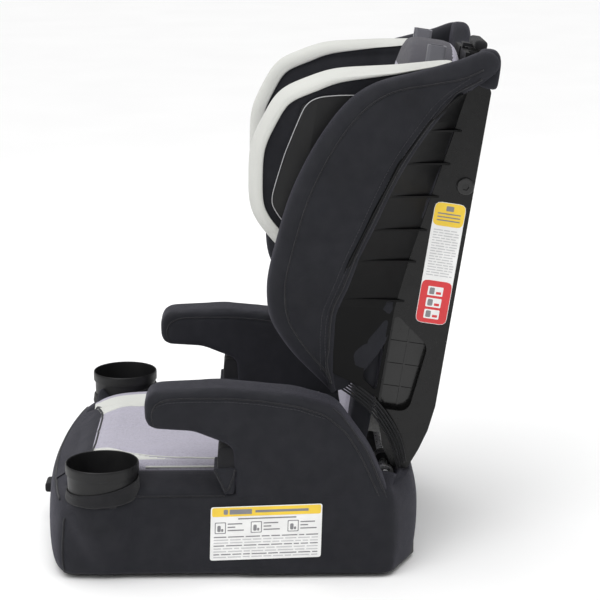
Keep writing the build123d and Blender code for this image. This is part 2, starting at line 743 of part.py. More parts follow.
# Plan of a head wing: its outer face flares from the backrest's channel, its inner face holds the head.
HEAD_OUTER = (
    (HALF_CHANNEL - 8, TONGUE_REAR),
    (HALF_CHANNEL - 4, -14),
    (HALF_HEAD - 3, -66),
    (HALF_HEAD, -150),
    (HALF_HEAD - 4, -222),
)
HEAD_INNER = ((HALF_HEAD - 36, -222), (HALF_HEAD - 39, -70), (HALF_HEAD - 57, -20), (HALF_HEAD - 61, 16))


def head_wing(plan, side_outline):
    """The head wing's side outline, held within a plan that runs the wing's full height."""
    with BuildPart() as wing:
        with BuildSketch(back_side(90)):
            add(side_outline)
        extrude(amount=90)
        with BuildSketch(BACK.offset(200)):
            with BuildLine():
                Polyline(*plan, close=True)
            make_face()
        extrude(amount=340, mode=Mode.INTERSECT)
    return wing.part


def plate_plan(gap):
    """Plan of the head wing's plastic plate, grown inwards by gap."""
    depth = WALL + gap
    inner = [(u - depth, v) for u, v in reversed(HEAD_OUTER)]
    return (*HEAD_OUTER, *inner)


wing_plan = ((HALF_CHANNEL - 8, 16), *HEAD_OUTER[1:], *HEAD_INNER)

with BuildPart() as head_band:
    add(head_wing(wing_plan, outline(HEAD_POINTS, HEAD_RADII)))
    cut = head_wing(
        ((190, 30), (190, -230), (90, -230), (90, 30)), outline(HEAD_POINTS, HEAD_RADII, HEAD_BAND)
    )
    add(cut, mode=Mode.SUBTRACT)
    back_block((80, 200), (-8, 40), (200, 560), mode=Mode.SUBTRACT)
write_pair(head_band.part, "head_band")

PLATE_SIDE = max(HALF_HEAD, HALF_CHANNEL) + 5

with BuildPart() as head_wing_cover:
    add(head_wing(wing_plan, outline(HEAD_POINTS, HEAD_RADII, HEAD_BAND + SOFT_GAP)))
    plate_space = head_wing(
        (
            (PLATE_SIDE, 40),
            (PLATE_SIDE, -230),
            *[(u - WALL - SOFT_GAP, v) for u, v in reversed(HEAD_OUTER)],
        ),
        outline(HEAD_PLATE_POINTS, HEAD_PLATE_RADII, -SOFT_GAP),
    )
    add(plate_space, mode=Mode.SUBTRACT)
write_pair(head_wing_cover.part, "head_wing_cover")

plate = head_wing(plate_plan(0), outline(HEAD_PLATE_POINTS, HEAD_PLATE_RADII))
LOCK_V = WEB_V - RACK_DEPTH - LOCK_GAP - LOCK_RADIUS
NECK_LOW = COWL_CENTRE + 3.5
NECK_HIGH = NECK_LOW + 4
NECK_HALF = 34
NECK_REAR = 62
SLOT_HALF = STRIP_WIDTH / 2 + 3
SPRING_LOW = 440
SPRING_LENGTH = 26

with BuildPart() as head_shell:
    back_block((8 - HALF_CHANNEL, HALF_CHANNEL - 8), (TONGUE_V, TONGUE_REAR), (316, 462))
    add(plate)
    add(mirror(plate, about=Plane.YZ, mode=Mode.PRIVATE))
    half = TONGUE_WIDTH / 2
    back_block((-half, half), (TONGUE_V, TONGUE_REAR), (TONGUE_BOTTOM, NECK_HIGH))
    back_block((-NECK_HALF, NECK_HALF), (TONGUE_V, NECK_REAR), (NECK_LOW, NECK_HIGH))
    back_block((-SLOT_HALF, SLOT_HALF), (0, 30), (LOCK_W - 26, 600), mode=Mode.SUBTRACT)
    lock_half = LOCK_RADIUS + ROD_CLEARANCE
    back_block((-48, 48), (0, 40), (LOCK_W - lock_half, LOCK_W + lock_half), mode=Mode.SUBTRACT)
    ledge = SPRING_LOW + SPRING_LENGTH
    back_block((-SLOT_HALF - 5, SLOT_HALF + 5), (TONGUE_V - 10, TONGUE_V), (ledge, ledge + 4))
write(head_shell.part, "head_shell")

with BuildPart() as head_pad:
    half = HEAD_PAD_WIDTH / 2
    back_block((-half, half), (HEAD_PAD_FRONT_V, TONGUE_V - SOFT_GAP), (HEAD_PAD_BOTTOM, HEAD_PAD_TOP))
    fillet(head_pad.edges().filter_by(Axis.X).sort_by(Axis.Y)[:2], radius=12)
    back_block((-16, 16), (TONGUE_V - 12, 40), (SPRING_LOW - 12, ledge + 8), mode=Mode.SUBTRACT)
write(head_pad.part, "head_pad")

GUIDE_U = (85, 105)
GUIDE_V = (-30, -8)
GUIDE_W = (462, 508)
with BuildPart() as belt_guide:
    back_block(GUIDE_U, GUIDE_V, GUIDE_W)
    fillet(belt_guide.edges().group_by(SortBy.LENGTH)[-1], radius=4)
    back_block(
        (GUIDE_U[0] + 3, GUIDE_U[1] - 3), (GUIDE_V[0] + 3, GUIDE_V[1] - 3), (0, 600), mode=Mode.SUBTRACT
    )
    back_block((GUIDE_U[0] + 2, GUIDE_U[0] + 10), (GUIDE_V[0] - 2, GUIDE_V[0] + 6), (0, 600), mode=Mode.SUBTRACT)
    back_block((91, 99), (GUIDE_V[1] - 1, TONGUE_V), (446, GUIDE_W[0] + 8))
write_pair(belt_guide.part, "belt_guide")

SPRING_RADIUS = 3
SPRING_WIRE = 0.5

with BuildPart() as release_spring:
    spring_foot = BACK.from_local_coords((0, TONGUE_V - 5.5, SPRING_LOW + SPRING_WIRE + SOFT_GAP))
    with BuildLine() as coil:
        height = SPRING_LENGTH - 2 * (SPRING_WIRE + SOFT_GAP)
        Helix(pitch=4, height=height, radius=SPRING_RADIUS, center=spring_foot, direction=UPWARD)
    with BuildSketch(Plane(origin=coil.edges()[0] @ 0, z_dir=coil.edges()[0] % 0)):
        Circle(SPRING_WIRE)
    sweep(path=coil.edges()[0])
write(release_spring.part, "release_spring")

# ---- Release: a handle over the backrest's top lifts a strip whose cam draws the lock bar forwards. ----
HANDLE_V = (32, 48)
HANDLE_W = (NECK_HIGH + 2.5, NECK_HIGH + 14)
STRIP_V = (TONGUE_V + 1, TONGUE_V + 4)
CAM_V = (13, 31)
CAM_W = (LOCK_W - 17, LOCK_W + 13)

with BuildPart() as pull_strip:
    half = STRIP_WIDTH / 2
    back_block((-half, half), STRIP_V, (CAM_W[1] - 2, HANDLE_W[0]))
    back_block((-LOCK_RADIUS, LOCK_RADIUS), CAM_V, CAM_W)
    back_block((-4, 4), (TONGUE_V - 9.5, STRIP_V[0] + 1), (SPRING_LOW - 3, SPRING_LOW))
    with BuildSketch(back_side(-10)):
        with Locations((LOCK_V - LOCK_STROKE / 2, LOCK_W - PULL_STROKE / 2)):
            SlotCenterToCenter(
                hypot(LOCK_STROKE, PULL_STROKE),
                2 * (LOCK_RADIUS + ROD_CLEARANCE),
                rotation=degrees(atan2(PULL_STROKE, LOCK_STROKE)),
            )
    extrude(amount=20, mode=Mode.SUBTRACT)
write(pull_strip.part, "pull_strip")

with BuildPart() as release_handle:
    back_block((-NECK_HALF, NECK_HALF), HANDLE_V, HANDLE_W)
    fillet(release_handle.edges(), radius=5)
    back_block((-10, 10), (STRIP_V[0], HANDLE_V[0] + 6), (HANDLE_W[0], HANDLE_W[0] + 4))
write(release_handle.part, "release_handle")

with BuildPart() as lock_bar:
    with BuildSketch(back_side(-RACK_X - 6)):
        with Locations((LOCK_V, LOCK_W)):
            Circle(LOCK_RADIUS)
    extrude(amount=2 * (RACK_X + 6))
    chamfer(lock_bar.edges(), length=0.6)
write(lock_bar.part, "lock_bar")
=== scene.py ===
"""Looks for a high-back booster seat: knitted covers, mesh pads, bands, seams and labels."""

from math import cos, pi, radians, sin, sqrt, tan

import bpy
import numpy as np
from mathutils import Matrix, Vector
from mathutils.bvhtree import BVHTree


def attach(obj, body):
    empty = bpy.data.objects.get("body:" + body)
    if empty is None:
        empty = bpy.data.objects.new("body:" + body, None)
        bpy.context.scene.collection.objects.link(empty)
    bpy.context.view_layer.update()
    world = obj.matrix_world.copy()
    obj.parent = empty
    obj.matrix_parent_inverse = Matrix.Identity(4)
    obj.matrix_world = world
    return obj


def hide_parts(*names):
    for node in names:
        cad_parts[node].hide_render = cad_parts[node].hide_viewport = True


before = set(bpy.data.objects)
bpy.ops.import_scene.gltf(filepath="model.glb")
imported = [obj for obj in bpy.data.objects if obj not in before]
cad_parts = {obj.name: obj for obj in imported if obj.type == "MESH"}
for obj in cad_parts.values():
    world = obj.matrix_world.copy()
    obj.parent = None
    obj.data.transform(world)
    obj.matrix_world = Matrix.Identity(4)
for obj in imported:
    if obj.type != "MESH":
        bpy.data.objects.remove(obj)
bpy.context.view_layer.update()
MM = 0.001

# The backrest's own frame: u across, v rearwards, w up the back, from the recline hinge.
HINGE_Y, HINGE_Z, TILT = 178.0, 108.0, radians(8.8)


def back(u, v, w):
    """A point given in the backrest's frame in millimetres, in the shared frame in metres."""
    y = HINGE_Y + v * cos(TILT) + w * sin(TILT)
    z = HINGE_Z - v * sin(TILT) + w * cos(TILT)
    return (u * MM, y * MM, z * MM)


def base(x, y, z):
    return (x * MM, y * MM, z * MM)


# ---- materials


class Finish:
    """A principled material with short calls for the nodes that feed it."""

    def __init__(self, name, roughness, **sockets):
        self.material = bpy.data.materials.new(name)
        self.material.use_nodes = True
        self.nodes, self.links = self.material.node_tree.nodes, self.material.node_tree.links
        self.shader = self.nodes["Principled BSDF"]
        self.shader.inputs["Roughness"].default_value = roughness
        for socket, value in sockets.items():
            self.shader.inputs[socket.replace("_", " ")].default_value = value
        self.place = self.nodes.new("ShaderNodeTexCoord").outputs["Object"]

    def noise(self, scale, detail):
        node = self.nodes.new("ShaderNodeTexNoise")
        node.inputs["Scale"].default_value = scale
        node.inputs["Detail"].default_value = detail
        self.links.new(self.place, node.inputs["Vector"])
        return node.outputs["Fac"]

    def cells(self, scale):
        node = self.nodes.new("ShaderNodeTexVoronoi")
        node.inputs["Scale"].default_value = scale
        self.links.new(self.place, node.inputs["Vector"])
        return node.outputs["Distance"]

    def ribs(self, scale, direction):
        node = self.nodes.new("ShaderNodeTexWave")
        node.bands_direction = direction
        node.inputs["Scale"].default_value = scale
        node.inputs["Distortion"].default_value = 0.6
        node.inputs["Detail Scale"].default_value = 2.0
        self.links.new(self.place, node.inputs["Vector"])
        return node.outputs["Fac"]

    def sum(self, first, second, operation="ADD"):
        node = self.nodes.new("ShaderNodeMath")
        node.operation = operation
        for value, socket in zip((first, second), node.inputs):
            if isinstance(value, (int, float)):
                socket.default_value = value
            else:
                self.links.new(value, socket)
        return node.outputs["Value"]

    def spread(self, factor, stops, socket="Base Color"):
        """A ramp of colours, or of greys for a value, over a factor."""
        ramp = self.nodes.new("ShaderNodeValToRGB")
        elements = ramp.color_ramp.elements
        while len(elements) < len(stops):
            elements.new(0.5)
        for element, (at, colour) in zip(elements, stops):
            element.position = at
            if isinstance(colour, (int, float)):
                colour = (colour,) * 3
            element.color = (*colour, 1)
        self.links.new(factor, ramp.inputs["Fac"])
        self.links.new(ramp.outputs["Color"], self.shader.inputs[socket])

    def bump(self, height, distance, strength):
        """Relief this deep in metres; the last call, which gives the material."""
        node = self.nodes.new("ShaderNodeBump")
        node.inputs["Distance"].default_value = distance
        node.inputs["Strength"].default_value = strength
        self.links.new(height, node.inputs["Height"])
        self.links.new(node.outputs["Normal"], self.shader.inputs["Normal"])
        return self.material


def knit(name, colour, pitch, contrast, sheen, tint=(1, 1, 1)):
    """Jersey knit over foam: fine crossing ribs, a soft pile and slow colour variation."""
    finish = Finish(name, 0.82, Sheen_Weight=sheen, Sheen_Roughness=0.45, Specular_IOR_Level=0.25)
    finish.shader.inputs["Sheen Tint"].default_value = (*tint, 1)
    slow = finish.noise(14, 4)
    fine = finish.noise(1400, 2)
    dark = [c * (1 - contrast) for c in colour]
    light = [c * (1 + contrast) for c in colour]
    mixed = finish.sum(finish.sum(slow, 0.6, "MULTIPLY"), finish.sum(fine, 0.4, "MULTIPLY"))
    finish.spread(mixed, ((0.32, dark), (0.7, light)))
    finish.spread(finish.noise(60, 2), ((0.3, 0.74), (0.75, 0.9)), "Roughness")
    ribs = finish.sum(finish.ribs(pitch, "Z"), finish.ribs(pitch, "Y"), "MULTIPLY")
    ribs = finish.sum(ribs, finish.sum(finish.ribs(pitch, "X"), 0.5, "MULTIPLY"))
    folds = finish.sum(finish.noise(22, 3), 3.0, "MULTIPLY")
    return finish.bump(finish.sum(finish.sum(ribs, fine), folds), 0.00022, 0.7)


def mesh_knit(name, colour, scale):
    """Spacer mesh: rows of small dark holes in a paler net."""
    finish = Finish(name, 0.8, Sheen_Weight=0.2, Sheen_Roughness=0.5, Specular_IOR_Level=0.25)
    holes = finish.cells(scale)
    finish.spread(
        finish.sum(holes, finish.sum(finish.noise(18, 3), 0.25, "MULTIPLY")),
        ((0.2, [c * 0.52 for c in colour]), (0.42, colour), (0.95, [min(1, c * 1.1) for c in colour])),
    )
    return finish.bump(holes, 0.0004, 0.8)


def plastic(name, colour, low, high, grain, depth, coat=0.0, shine=0.3):
    """Moulded plastic: fine grain, roughness that wanders, faint scuffs."""
    finish = Finish(
        name, (low + high) / 2, Coat_Weight=coat, Coat_Roughness=0.12, Specular_IOR_Level=shine
    )
    slow = finish.noise(9, 4)
    finish.spread(slow, ((0.3, [c * 0.85 for c in colour]), (0.75, [c * 1.25 for c in colour])))
    worn = finish.sum(finish.noise(70, 5), finish.sum(slow, 0.6, "MULTIPLY"))
    finish.spread(worn, ((0.5, low), (1.0, high)), "Roughness")
    grains = finish.sum(finish.cells(grain), finish.sum(finish.noise(16, 2), 2.0, "MULTIPLY"))
    return finish.bump(grains, depth, 0.6)


def metal(name):
    """Plated metal with a faint grain."""
    finish = Finish(name, 0.3, Metallic=1.0)
    finish.spread(finish.noise(120, 4), ((0.3, (0.42, 0.42, 0.43)), (0.7, (0.66, 0.66, 0.67))))
    finish.spread(finish.noise(300, 3), ((0.3, 0.2), (0.7, 0.42)), "Roughness")
    return finish.bump(finish.noise(900, 2), 0.00005, 0.5)


def foam(name):
    """Bead foam: pale beads with darker joints."""
    finish = Finish(name, 0.9)
    beads = finish.cells(260)
    finish.spread(beads, ((0.0, (0.78, 0.78, 0.76)), (0.7, (0.55, 0.55, 0.54))))
    return finish.bump(beads, 0.0005, 0.6)


SKINS = {
    "black_fabric": knit("charcoal_knit", (0.0125, 0.013, 0.0165), 420, 0.22, 0.14, (0.6, 0.58, 0.75)),
    "light_fabric": knit("pale_grey_knit", (0.6, 0.605, 0.575), 420, 0.06, 0.1),
    "mesh_fabric": mesh_knit("lilac_grey_mesh", (0.36, 0.345, 0.41), 520),
    "grey_fabric": knit("grey_knit", (0.075, 0.073, 0.085), 420, 0.1, 0.1),
    "elastic": knit("woven_elastic", (0.012, 0.012, 0.014), 700, 0.3, 0.12),
    "moulded_plastic": plastic("satin_black_plastic", (0.009, 0.009, 0.0095), 0.32, 0.5, 1600, 0.00006),
    "gloss_plastic": plastic("gloss_black_plastic", (0.004, 0.004, 0.0042), 0.16, 0.34, 500, 0.00003),
    "frame_plastic": plastic(
        "frame_black_plastic", (0.0022, 0.0022, 0.0024), 0.3, 0.45, 500, 0.00003, shine=0.12
    ),
    "knob_plastic": plastic("knob_black_plastic", (0.01, 0.01, 0.01), 0.12, 0.28, 500, 0.00003, 0.3),
    "guide_plastic": plastic("grey_guide_plastic", (0.16, 0.16, 0.18), 0.3, 0.45, 1400, 0.00005),
    "rubber": plastic("foot_rubber", (0.02, 0.02, 0.02), 0.6, 0.8, 1100, 0.00012),
    "steel": metal("plated_steel"),
    "foam": foam("bead_foam"),
    "piping": knit("charcoal_piping", (0.011, 0.011, 0.014), 900, 0.2, 0.2),
    "thread": knit("charcoal_thread", (0.045, 0.045, 0.052), 1200, 0.2, 0.1),
    # painted highlight: a pale plastic for the tube that stands in for the light caught on the head
    # plate's edge
    "edge_painted_highlight": plastic("pale_edge_painted_highlight", (0.42, 0.42, 0.43), 0.25, 0.4, 900, 0.00004),
}

# ---- modelling helpers


def only(*objects):
    """Select these objects and nothing else."""
    bpy.ops.object.select_all(action="DESELECT")
    for o in objects:
        o.select_set(True)
    bpy.context.view_layer.objects.active = objects[0]


def apply(piece, kind, **settings):
    """Add a modifier with its settings and apply it."""
    modifier = piece.modifiers.new(kind.title(), kind)
    for name, value in settings.items():
        setattr(modifier, name, value)
    only(piece)
    bpy.ops.object.modifier_apply(modifier=modifier.name)
    return piece


def rounded(piece, levels=1):
    return apply(piece, "SUBSURF", levels=levels, render_levels=levels)


def skin(name, rows):
    """A grid is added, its rows are laid on the sections given, and edges that meet are sewn."""
    across, along = len(rows[0]), len(rows)
    bpy.ops.object.select_all(action="DESELECT")
    bpy.ops.mesh.primitive_grid_add(x_subdivisions=across - 1, y_subdivisions=along - 1, size=1)
    piece = bpy.context.object
    piece.name = piece.data.name = name
    piece.data.vertices.foreach_set("co", np.array(rows, float).reshape(-1))
    sew(piece)
    bpy.ops.object.shade_smooth()
    return piece


def capped(rows):
    """The rows with a point at the middle of each end, which closes the skin."""
    first, last = (tuple(np.mean(np.array(row[:-1]), axis=0)) for row in (rows[0], rows[-1]))
    return [[first] * len(rows[0]), *rows, [last] * len(rows[0])]


def sew(piece):
    """Merge points that touch and turn every face outwards."""
    only(piece)
    bpy.ops.object.mode_set(mode="EDIT")
    bpy.ops.mesh.select_all(action="SELECT")
    bpy.ops.mesh.remove_doubles(threshold=2e-5)
    bpy.ops.mesh.normals_make_consistent(inside=False)
    bpy.ops.object.mode_set(mode="OBJECT")
    places, outward = read(piece), normals(piece)
    if ((places - places.mean(0)) * outward).sum() < 0:
        piece.data.flip_normals()


def fillet_line(points, radii, steps=6):
    """A closed outline with its corners rounded."""
    out = []
    count = len(points)
    for i, (point, radius) in enumerate(zip(points, radii)):
        p = Vector(point)
        a, b = Vector(points[i - 1]) - p, Vector(points[(i + 1) % count]) - p
        half = a.angle(b) / 2
        if radius < 0.1 or half > 1.55:
            out.append(tuple(p))
            continue
        cut = min(radius / tan(half), 0.48 * a.length, 0.48 * b.length)
        start, end = p + a.normalized() * cut, p + b.normalized() * cut
        for k in range(steps + 1):
            t = k / steps
            out.append(tuple((1 - t) ** 2 * start + 2 * t * (1 - t) * p + t * t * end))
    return out


def even(points, count, closed=False):
    """Points evenly spaced along a line."""
    line = np.array(list(points) + ([points[0]] if closed else []), float)
    steps = np.r_[0, np.cumsum(np.linalg.norm(np.diff(line, axis=0), axis=1))]
    places = np.linspace(0, steps[-1], count + 1 if closed else count)
    if closed:
        places = places[:-1]
    return np.stack([np.interp(places, steps, line[:, k]) for k in range(line.shape[1])], 1)


def soft_line(points, count, passes=2):
    """The same line with its corners eased, evenly spaced."""
    line = even(points, count)
    for _ in range(passes):
        line[1:-1] = 0.25 * line[:-2] + 0.5 * line[1:-1] + 0.25 * line[2:]
    return line


def prism(points, way):
    """A flat face through these points, pushed along way to make a solid."""
    bpy.ops.object.select_all(action="DESELECT")
    bpy.ops.mesh.primitive_circle_add(vertices=len(points), fill_type="NGON")
    piece = bpy.context.object
    piece.data.vertices.foreach_set("co", np.array(points, float).reshape(-1))
    bpy.ops.object.mode_set(mode="EDIT")
    bpy.ops.mesh.select_all(action="SELECT")
    bpy.ops.mesh.extrude_region_move(TRANSFORM_OT_translate={"value": way})
    bpy.ops.mesh.select_all(action="SELECT")
    bpy.ops.mesh.normals_make_consistent(inside=False)
    bpy.ops.object.mode_set(mode="OBJECT")
    return piece


def slab(name, outline, low, high, bevel, voxel, passes):
    """A side outline pushed across the seat, its edges rounded and its skin made even."""
    way = Vector(base(high, *outline[0])) - Vector(base(low, *outline[0]))
    piece = prism([base(low, *p) for p in outline], way)
    piece.name = piece.data.name = name
    apply(piece, "BEVEL", width=bevel * MM, segments=4, limit_method="ANGLE", angle_limit=radians(50))
    return even_skin(piece, voxel, passes)


def even_skin(piece, voxel, passes):
    """Remesh to even faces and ease the corners."""
    apply(piece, "REMESH", mode="VOXEL", voxel_size=voxel * MM)
    apply(piece, "SMOOTH", factor=0.5, iterations=passes)
    only(piece)
    bpy.ops.object.shade_smooth()
    return piece


def node_copy(name, node):
    """A copy of a CAD node's own shape, sewn."""
    piece = bpy.data.objects.new(name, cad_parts[node].data.copy())
    piece.data.name = name
    piece.data.materials.clear()
    bpy.context.scene.collection.objects.link(piece)
    sew(piece)
    return piece


def read(piece):
    values = np.zeros(len(piece.data.vertices) * 3)
    piece.data.vertices.foreach_get("co", values)
    return values.reshape(-1, 3)


def normals(piece):
    values = np.zeros(len(piece.data.vertices) * 3)
    piece.data.vertex_normals.foreach_get("vector", values)
    return values.reshape(-1, 3)


def write(piece, places):
    piece.data.vertices.foreach_set("co", places.reshape(-1))
    piece.data.update()


CLOTH_FRAMES = 20


def stuffed(piece, voxel, cap, shrink):
    """Fill a pad: it starts a little small, swells as cloth under pressure, and settles within a cap."""
    even_skin(piece, voxel, 4)
    start = read(piece) - normals(piece) * shrink * MM
    write(piece, start)
    scene = bpy.context.scene
    cloth = piece.modifiers.new("Cloth", "CLOTH")
    settings = cloth.settings
    settings.quality = 5
    settings.mass = 0.3
    settings.tension_stiffness = settings.compression_stiffness = 45
    settings.bending_stiffness = 1.8
    settings.use_pressure = True
    settings.uniform_pressure_force = 4
    settings.effector_weights.gravity = 0
    cloth.collision_settings.use_collision = False
    cloth.collision_settings.use_self_collision = False
    cloth.point_cache.frame_start, cloth.point_cache.frame_end = 1, CLOTH_FRAMES
    for number in range(1, CLOTH_FRAMES + 1):
        scene.frame_set(number)
    evaluated = piece.evaluated_get(bpy.context.evaluated_depsgraph_get())
    swollen = np.zeros(len(piece.data.vertices) * 3)
    evaluated.data.vertices.foreach_get("co", swollen)
    piece.modifiers.clear()
    scene.frame_set(1)
    moved = swollen.reshape(-1, 3) - start
    length = np.linalg.norm(moved, axis=1, keepdims=True) + 1e-9
    moved *= np.minimum(1, cap * MM / length)
    write(piece, start + moved)


def surface(piece):
    """The piece's skin, for finding the nearest place on it."""
    return BVHTree.FromObject(piece, bpy.context.evaluated_depsgraph_get())


def groove(piece, line, reach, depth):
    """Pull the skin in along a sewn line."""
    places, outward = read(piece), normals(piece)
    marks = even(line, max(8, 3 * len(line)))
    near = np.full(len(places), 1e9)
    for a, b in zip(marks[:-1], marks[1:]):
        way = b - a
        t = np.clip(((places - a) @ way) / max(way @ way, 1e-12), 0, 1)
        near = np.minimum(near, np.linalg.norm(places - (a + t[:, None] * way), axis=1))
    share = np.clip(1 - (near / (reach * MM)) ** 2, 0, 1) ** 2
    write(piece, places - outward * (share * depth * MM)[:, None])


def laid(line, on, lift, count=None):
    """A line drawn on a skin, lifted off it."""
    line = even(line, count or 3 * len(line))
    out = []
    for point in line:
        place, normal, _, _ = on.find_nearest(Vector(point))
        out.append(place + normal * lift * MM)
    return out


def tubes(name, lines, radius, smooth=True, sides=2):
    """Round cords along one or more lines, made one mesh."""
    curve = bpy.data.curves.new(name, "CURVE")
    curve.dimensions = "3D"
    curve.bevel_depth = radius * MM
    curve.bevel_resolution = sides
    curve.use_fill_caps = True
    for line in lines:
        spline = curve.splines.new("NURBS" if smooth else "POLY")
        spline.points.add(len(line) - 1)
        for point, place in zip(spline.points, line):
            point.co = (*place, 1)
        if smooth:
            spline.order_u = 3
            spline.use_endpoint_u = True
            spline.resolution_u = 3
    piece = bpy.data.objects.new(name, curve)
    bpy.context.scene.collection.objects.link(piece)
    only(piece)
    bpy.ops.object.convert(target="MESH")
    piece = bpy.context.object
    piece.name = piece.data.name = name
    sew(piece)
    bpy.ops.object.shade_smooth()
    return piece


STITCH_PITCH = 4.2
STITCH_LIFT = 0.15
STITCH_ARCH = 0.25  # a stitch's middle stands this far above its lift, and its ends below


def stitches(line, on):
    """Short runs of thread along a line on a skin."""
    line = np.array(line, float)
    length = np.linalg.norm(np.diff(line, axis=0), axis=1).sum() / MM
    count = max(2, round(length / STITCH_PITCH))
    places = even(line, 3 * count + 1)
    runs = []
    for k in range(count):
        lifted = []
        for n in range(3):
            place, normal, _, _ = on.find_nearest(Vector(places[3 * k + n]))
            lifted.append(place + normal * (STITCH_LIFT + (STITCH_ARCH if n == 1 else -STITCH_ARCH)) * MM)
        runs.append(lifted)
    return runs


def sewn(name, runs, radius):
    """Stitches as one mesh of short threads."""
    return tubes(name, runs, radius, False, 1)


def mirrored(piece, name):
    """The same piece for the other side, with its own mesh."""
    twin = bpy.data.objects.new(name, piece.data.copy())
    twin.data.name = name
    bpy.context.scene.collection.objects.link(twin)
    twin.data.transform(Matrix.Scale(-1, 4, (1, 0, 0)))
    twin.data.flip_normals()
    return twin


def done(piece, body, finish, nodes=()):
    """Give a finished piece its body, finish, and the nodes that it stands for."""
    piece.data.materials.clear()
    piece.data.materials.append(SKINS[finish])
    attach(piece, body)
    if nodes:
        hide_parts(*nodes)
    return piece


def pair(piece, stem, body, finish, nodes=()):
    """Finish the left piece and its mirror image on the right."""
    piece.name = piece.data.name = f"{stem}_left"
    twin = mirrored(piece, f"{stem}_right")
    done(piece, body, finish, [f"{n}_left" for n in nodes])
    done(twin, body, finish, [f"{n}_right" for n in nodes])
    return piece, twin


# ---- base cover

CUP_X, CUP_Y = 195.0, -156.0
CUP_LOBE = 43.5  # radius of the side's swelling round a cup
FOOT_LOBE = 21.5  # and of the same swelling at the floor
SIDE = 216.0
NOSE_BULGE = 24
SEAT_EDGE = 158.0
# Levels up the side wall, each with how far the wall stands in there.
WALL = (
    (6, 5), (8, 1.5), (12, 0.4), (20, 0), (34, 0), (50, 0), (65, 0), (78, 0), (88, 0.6), (96, 2),
    (102, 4.5), (106, 9), (108.5, 15),
)
# How far the front leans back at each level.
NOSE_LEVELS = (6, 20, 45, 70, 84, 88, 91, 96, 102, 106, 109)
NOSE_SLOPES = (0, -3.5, -4, -1.5, -0.5, 3, 7, 13, 24, 34, 42)


def nose(x):
    """How far forward the base reaches at x."""
    return -208 - NOSE_BULGE * (1 - (x / SIDE) ** 2)


# The base's plan, from the middle of the front round the left side to the middle of the rear.
plan = [(x, nose(x)) for x in (0, 30, 60, 90, 120, 146, 168, 184)]
plan += [(198, -209), (208.5, -204.5), (214.5, -196)]
plan += [(SIDE, y) for y in (*range(-186, -113, 8), -104, -90, -70, -50, -30, -12)]
plan += [(SIDE, y) for y in (0, 12, 30, 55, 80, 105, 130, 150, 165, 176)]
plan += [(213, 184), (206, 191), (192, 198), (172, 209), (154, 216)]
plan += [(x, 219) for x in (130, 95, 60, 25, 0)]
whole = plan + [(-x, y) for x, y in reversed(plan[1:-1])]
whole.append(whole[0])


def lobe(x, y, level):
    """The side swells round the cup."""
    radius = CUP_LOBE if level > 65 else FOOT_LOBE + (CUP_LOBE - FOOT_LOBE) * max(0, level - 12) / 53
    away = abs(y - CUP_Y)
    if y > -60 or y < -204 or away > radius + 18:
        return x
    reach = CUP_X + sqrt(max(radius**2 - away**2, 0))
    return max(x, reach) + 1.75 * max(0, 1 - abs(x - reach) / 22) ** 2


def wall_point(x, y, level, inset):
    """A point of the side wall."""
    across = lobe(abs(x), y, level)
    if 2 < y < 182:
        inset = min(inset, 0.5)  # the armrest stands on the wall here
    push_x = inset if -205 < y < 190 else inset * 0.4 * across / SIDE
    push_y = 0
    if y < -200:
        lean = float(np.interp(level, NOSE_LEVELS, NOSE_SLOPES)) * min(1, (SIDE - across) / 16 + 0.4)
        push_y = inset * 0.3 + lean
    elif y > 185:
        lean = 6 * ((level - 62) / 46) ** 2 if level > 62 else 5 * ((62 - level) / 56) ** 2
        push_y = -(inset * 0.3 + lean)
    return base((1 if x >= 0 else -1) * (across - push_x), y + push_y, level)


def rim_point(x, y, wall_place, share, level):
    """A point of the cover's top, this share of the way from the wall to the seat."""
    if y < -200 and abs(x) < 190:
        target = (min(abs(x), SEAT_EDGE), -190)
    elif y > 178:
        target = (min(abs(x), SEAT_EDGE), 192)
    else:
        target = (SEAT_EDGE, max(-190, min(y, 188)))
    from_x, from_y = abs(wall_place[0]) / MM, wall_place[1] / MM
    height = level if y < 170 else level - 8 * min(1, (y - 170) / 20)
    if y < -200 and abs(x) < 150:
        height = min(height, 104)
    across = from_x + (target[0] - from_x) * share
    return base((1 if x >= 0 else -1) * across, from_y + (target[1] - from_y) * share, height)


rows = [[wall_point(x, y, level, inset) for x, y in whole] for level, inset in WALL]
wall_top = rows[-1]
for share, level in ((0.35, 114.5), (0.72, 118.5), (1.0, 119), (1.0, 98)):
    rows.append([rim_point(x, y, place, share, level) for (x, y), place in zip(whole, wall_top)])
cover = skin("base_cover_fabric", rows)
apply(cover, "SOLIDIFY", thickness=3.5 * MM, offset=-1, use_even_offset=False)
rounded(cover)


def cup_room(piece, side, radius):
    """Take the cup's room out of a cover."""
    bpy.ops.object.select_all(action="DESELECT")
    place = base(side * CUP_X, CUP_Y, 126)
    bpy.ops.mesh.primitive_cylinder_add(vertices=72, radius=radius * MM, depth=0.12, location=place)
    cutter = bpy.context.object
    apply(piece, "BOOLEAN", operation="DIFFERENCE", solver="FAST", object=cutter)
    bpy.data.objects.remove(cutter)


for side in (1, -1):
    cup_room(cover, side, 40.9)
cover_skin = surface(cover)
done(cover, "base", "black_fabric", ["base_cover"])

# Seams and piping on the base.
CORNER = ((-150, 112), (-178, 106), (-193, 92), (-200, 71), (-204, 45), (-205, 22), (-204, 9))
for stem, side in (("left", 1), ("right", -1)):
    line = [base(side * 212, y, z) for y, z in CORNER]
    done(tubes(f"corner_piping_{stem}", [laid(line, cover_skin, 0.4)], 1.5), "base", "piping")
line = [base(x, nose(x), 96) for x in (-188, -150, -110, -60, 0, 60, 110, 150, 188)]
done(tubes("nose_piping", [laid(line, cover_skin, 0.3)], 1.3), "base", "piping")
runs = stitches([base(x, nose(x), 90) for x in range(-180, 181, 12)], cover_skin)
done(sewn("nose_stitches", runs, 0.35), "base", "thread")

# ---- armrests

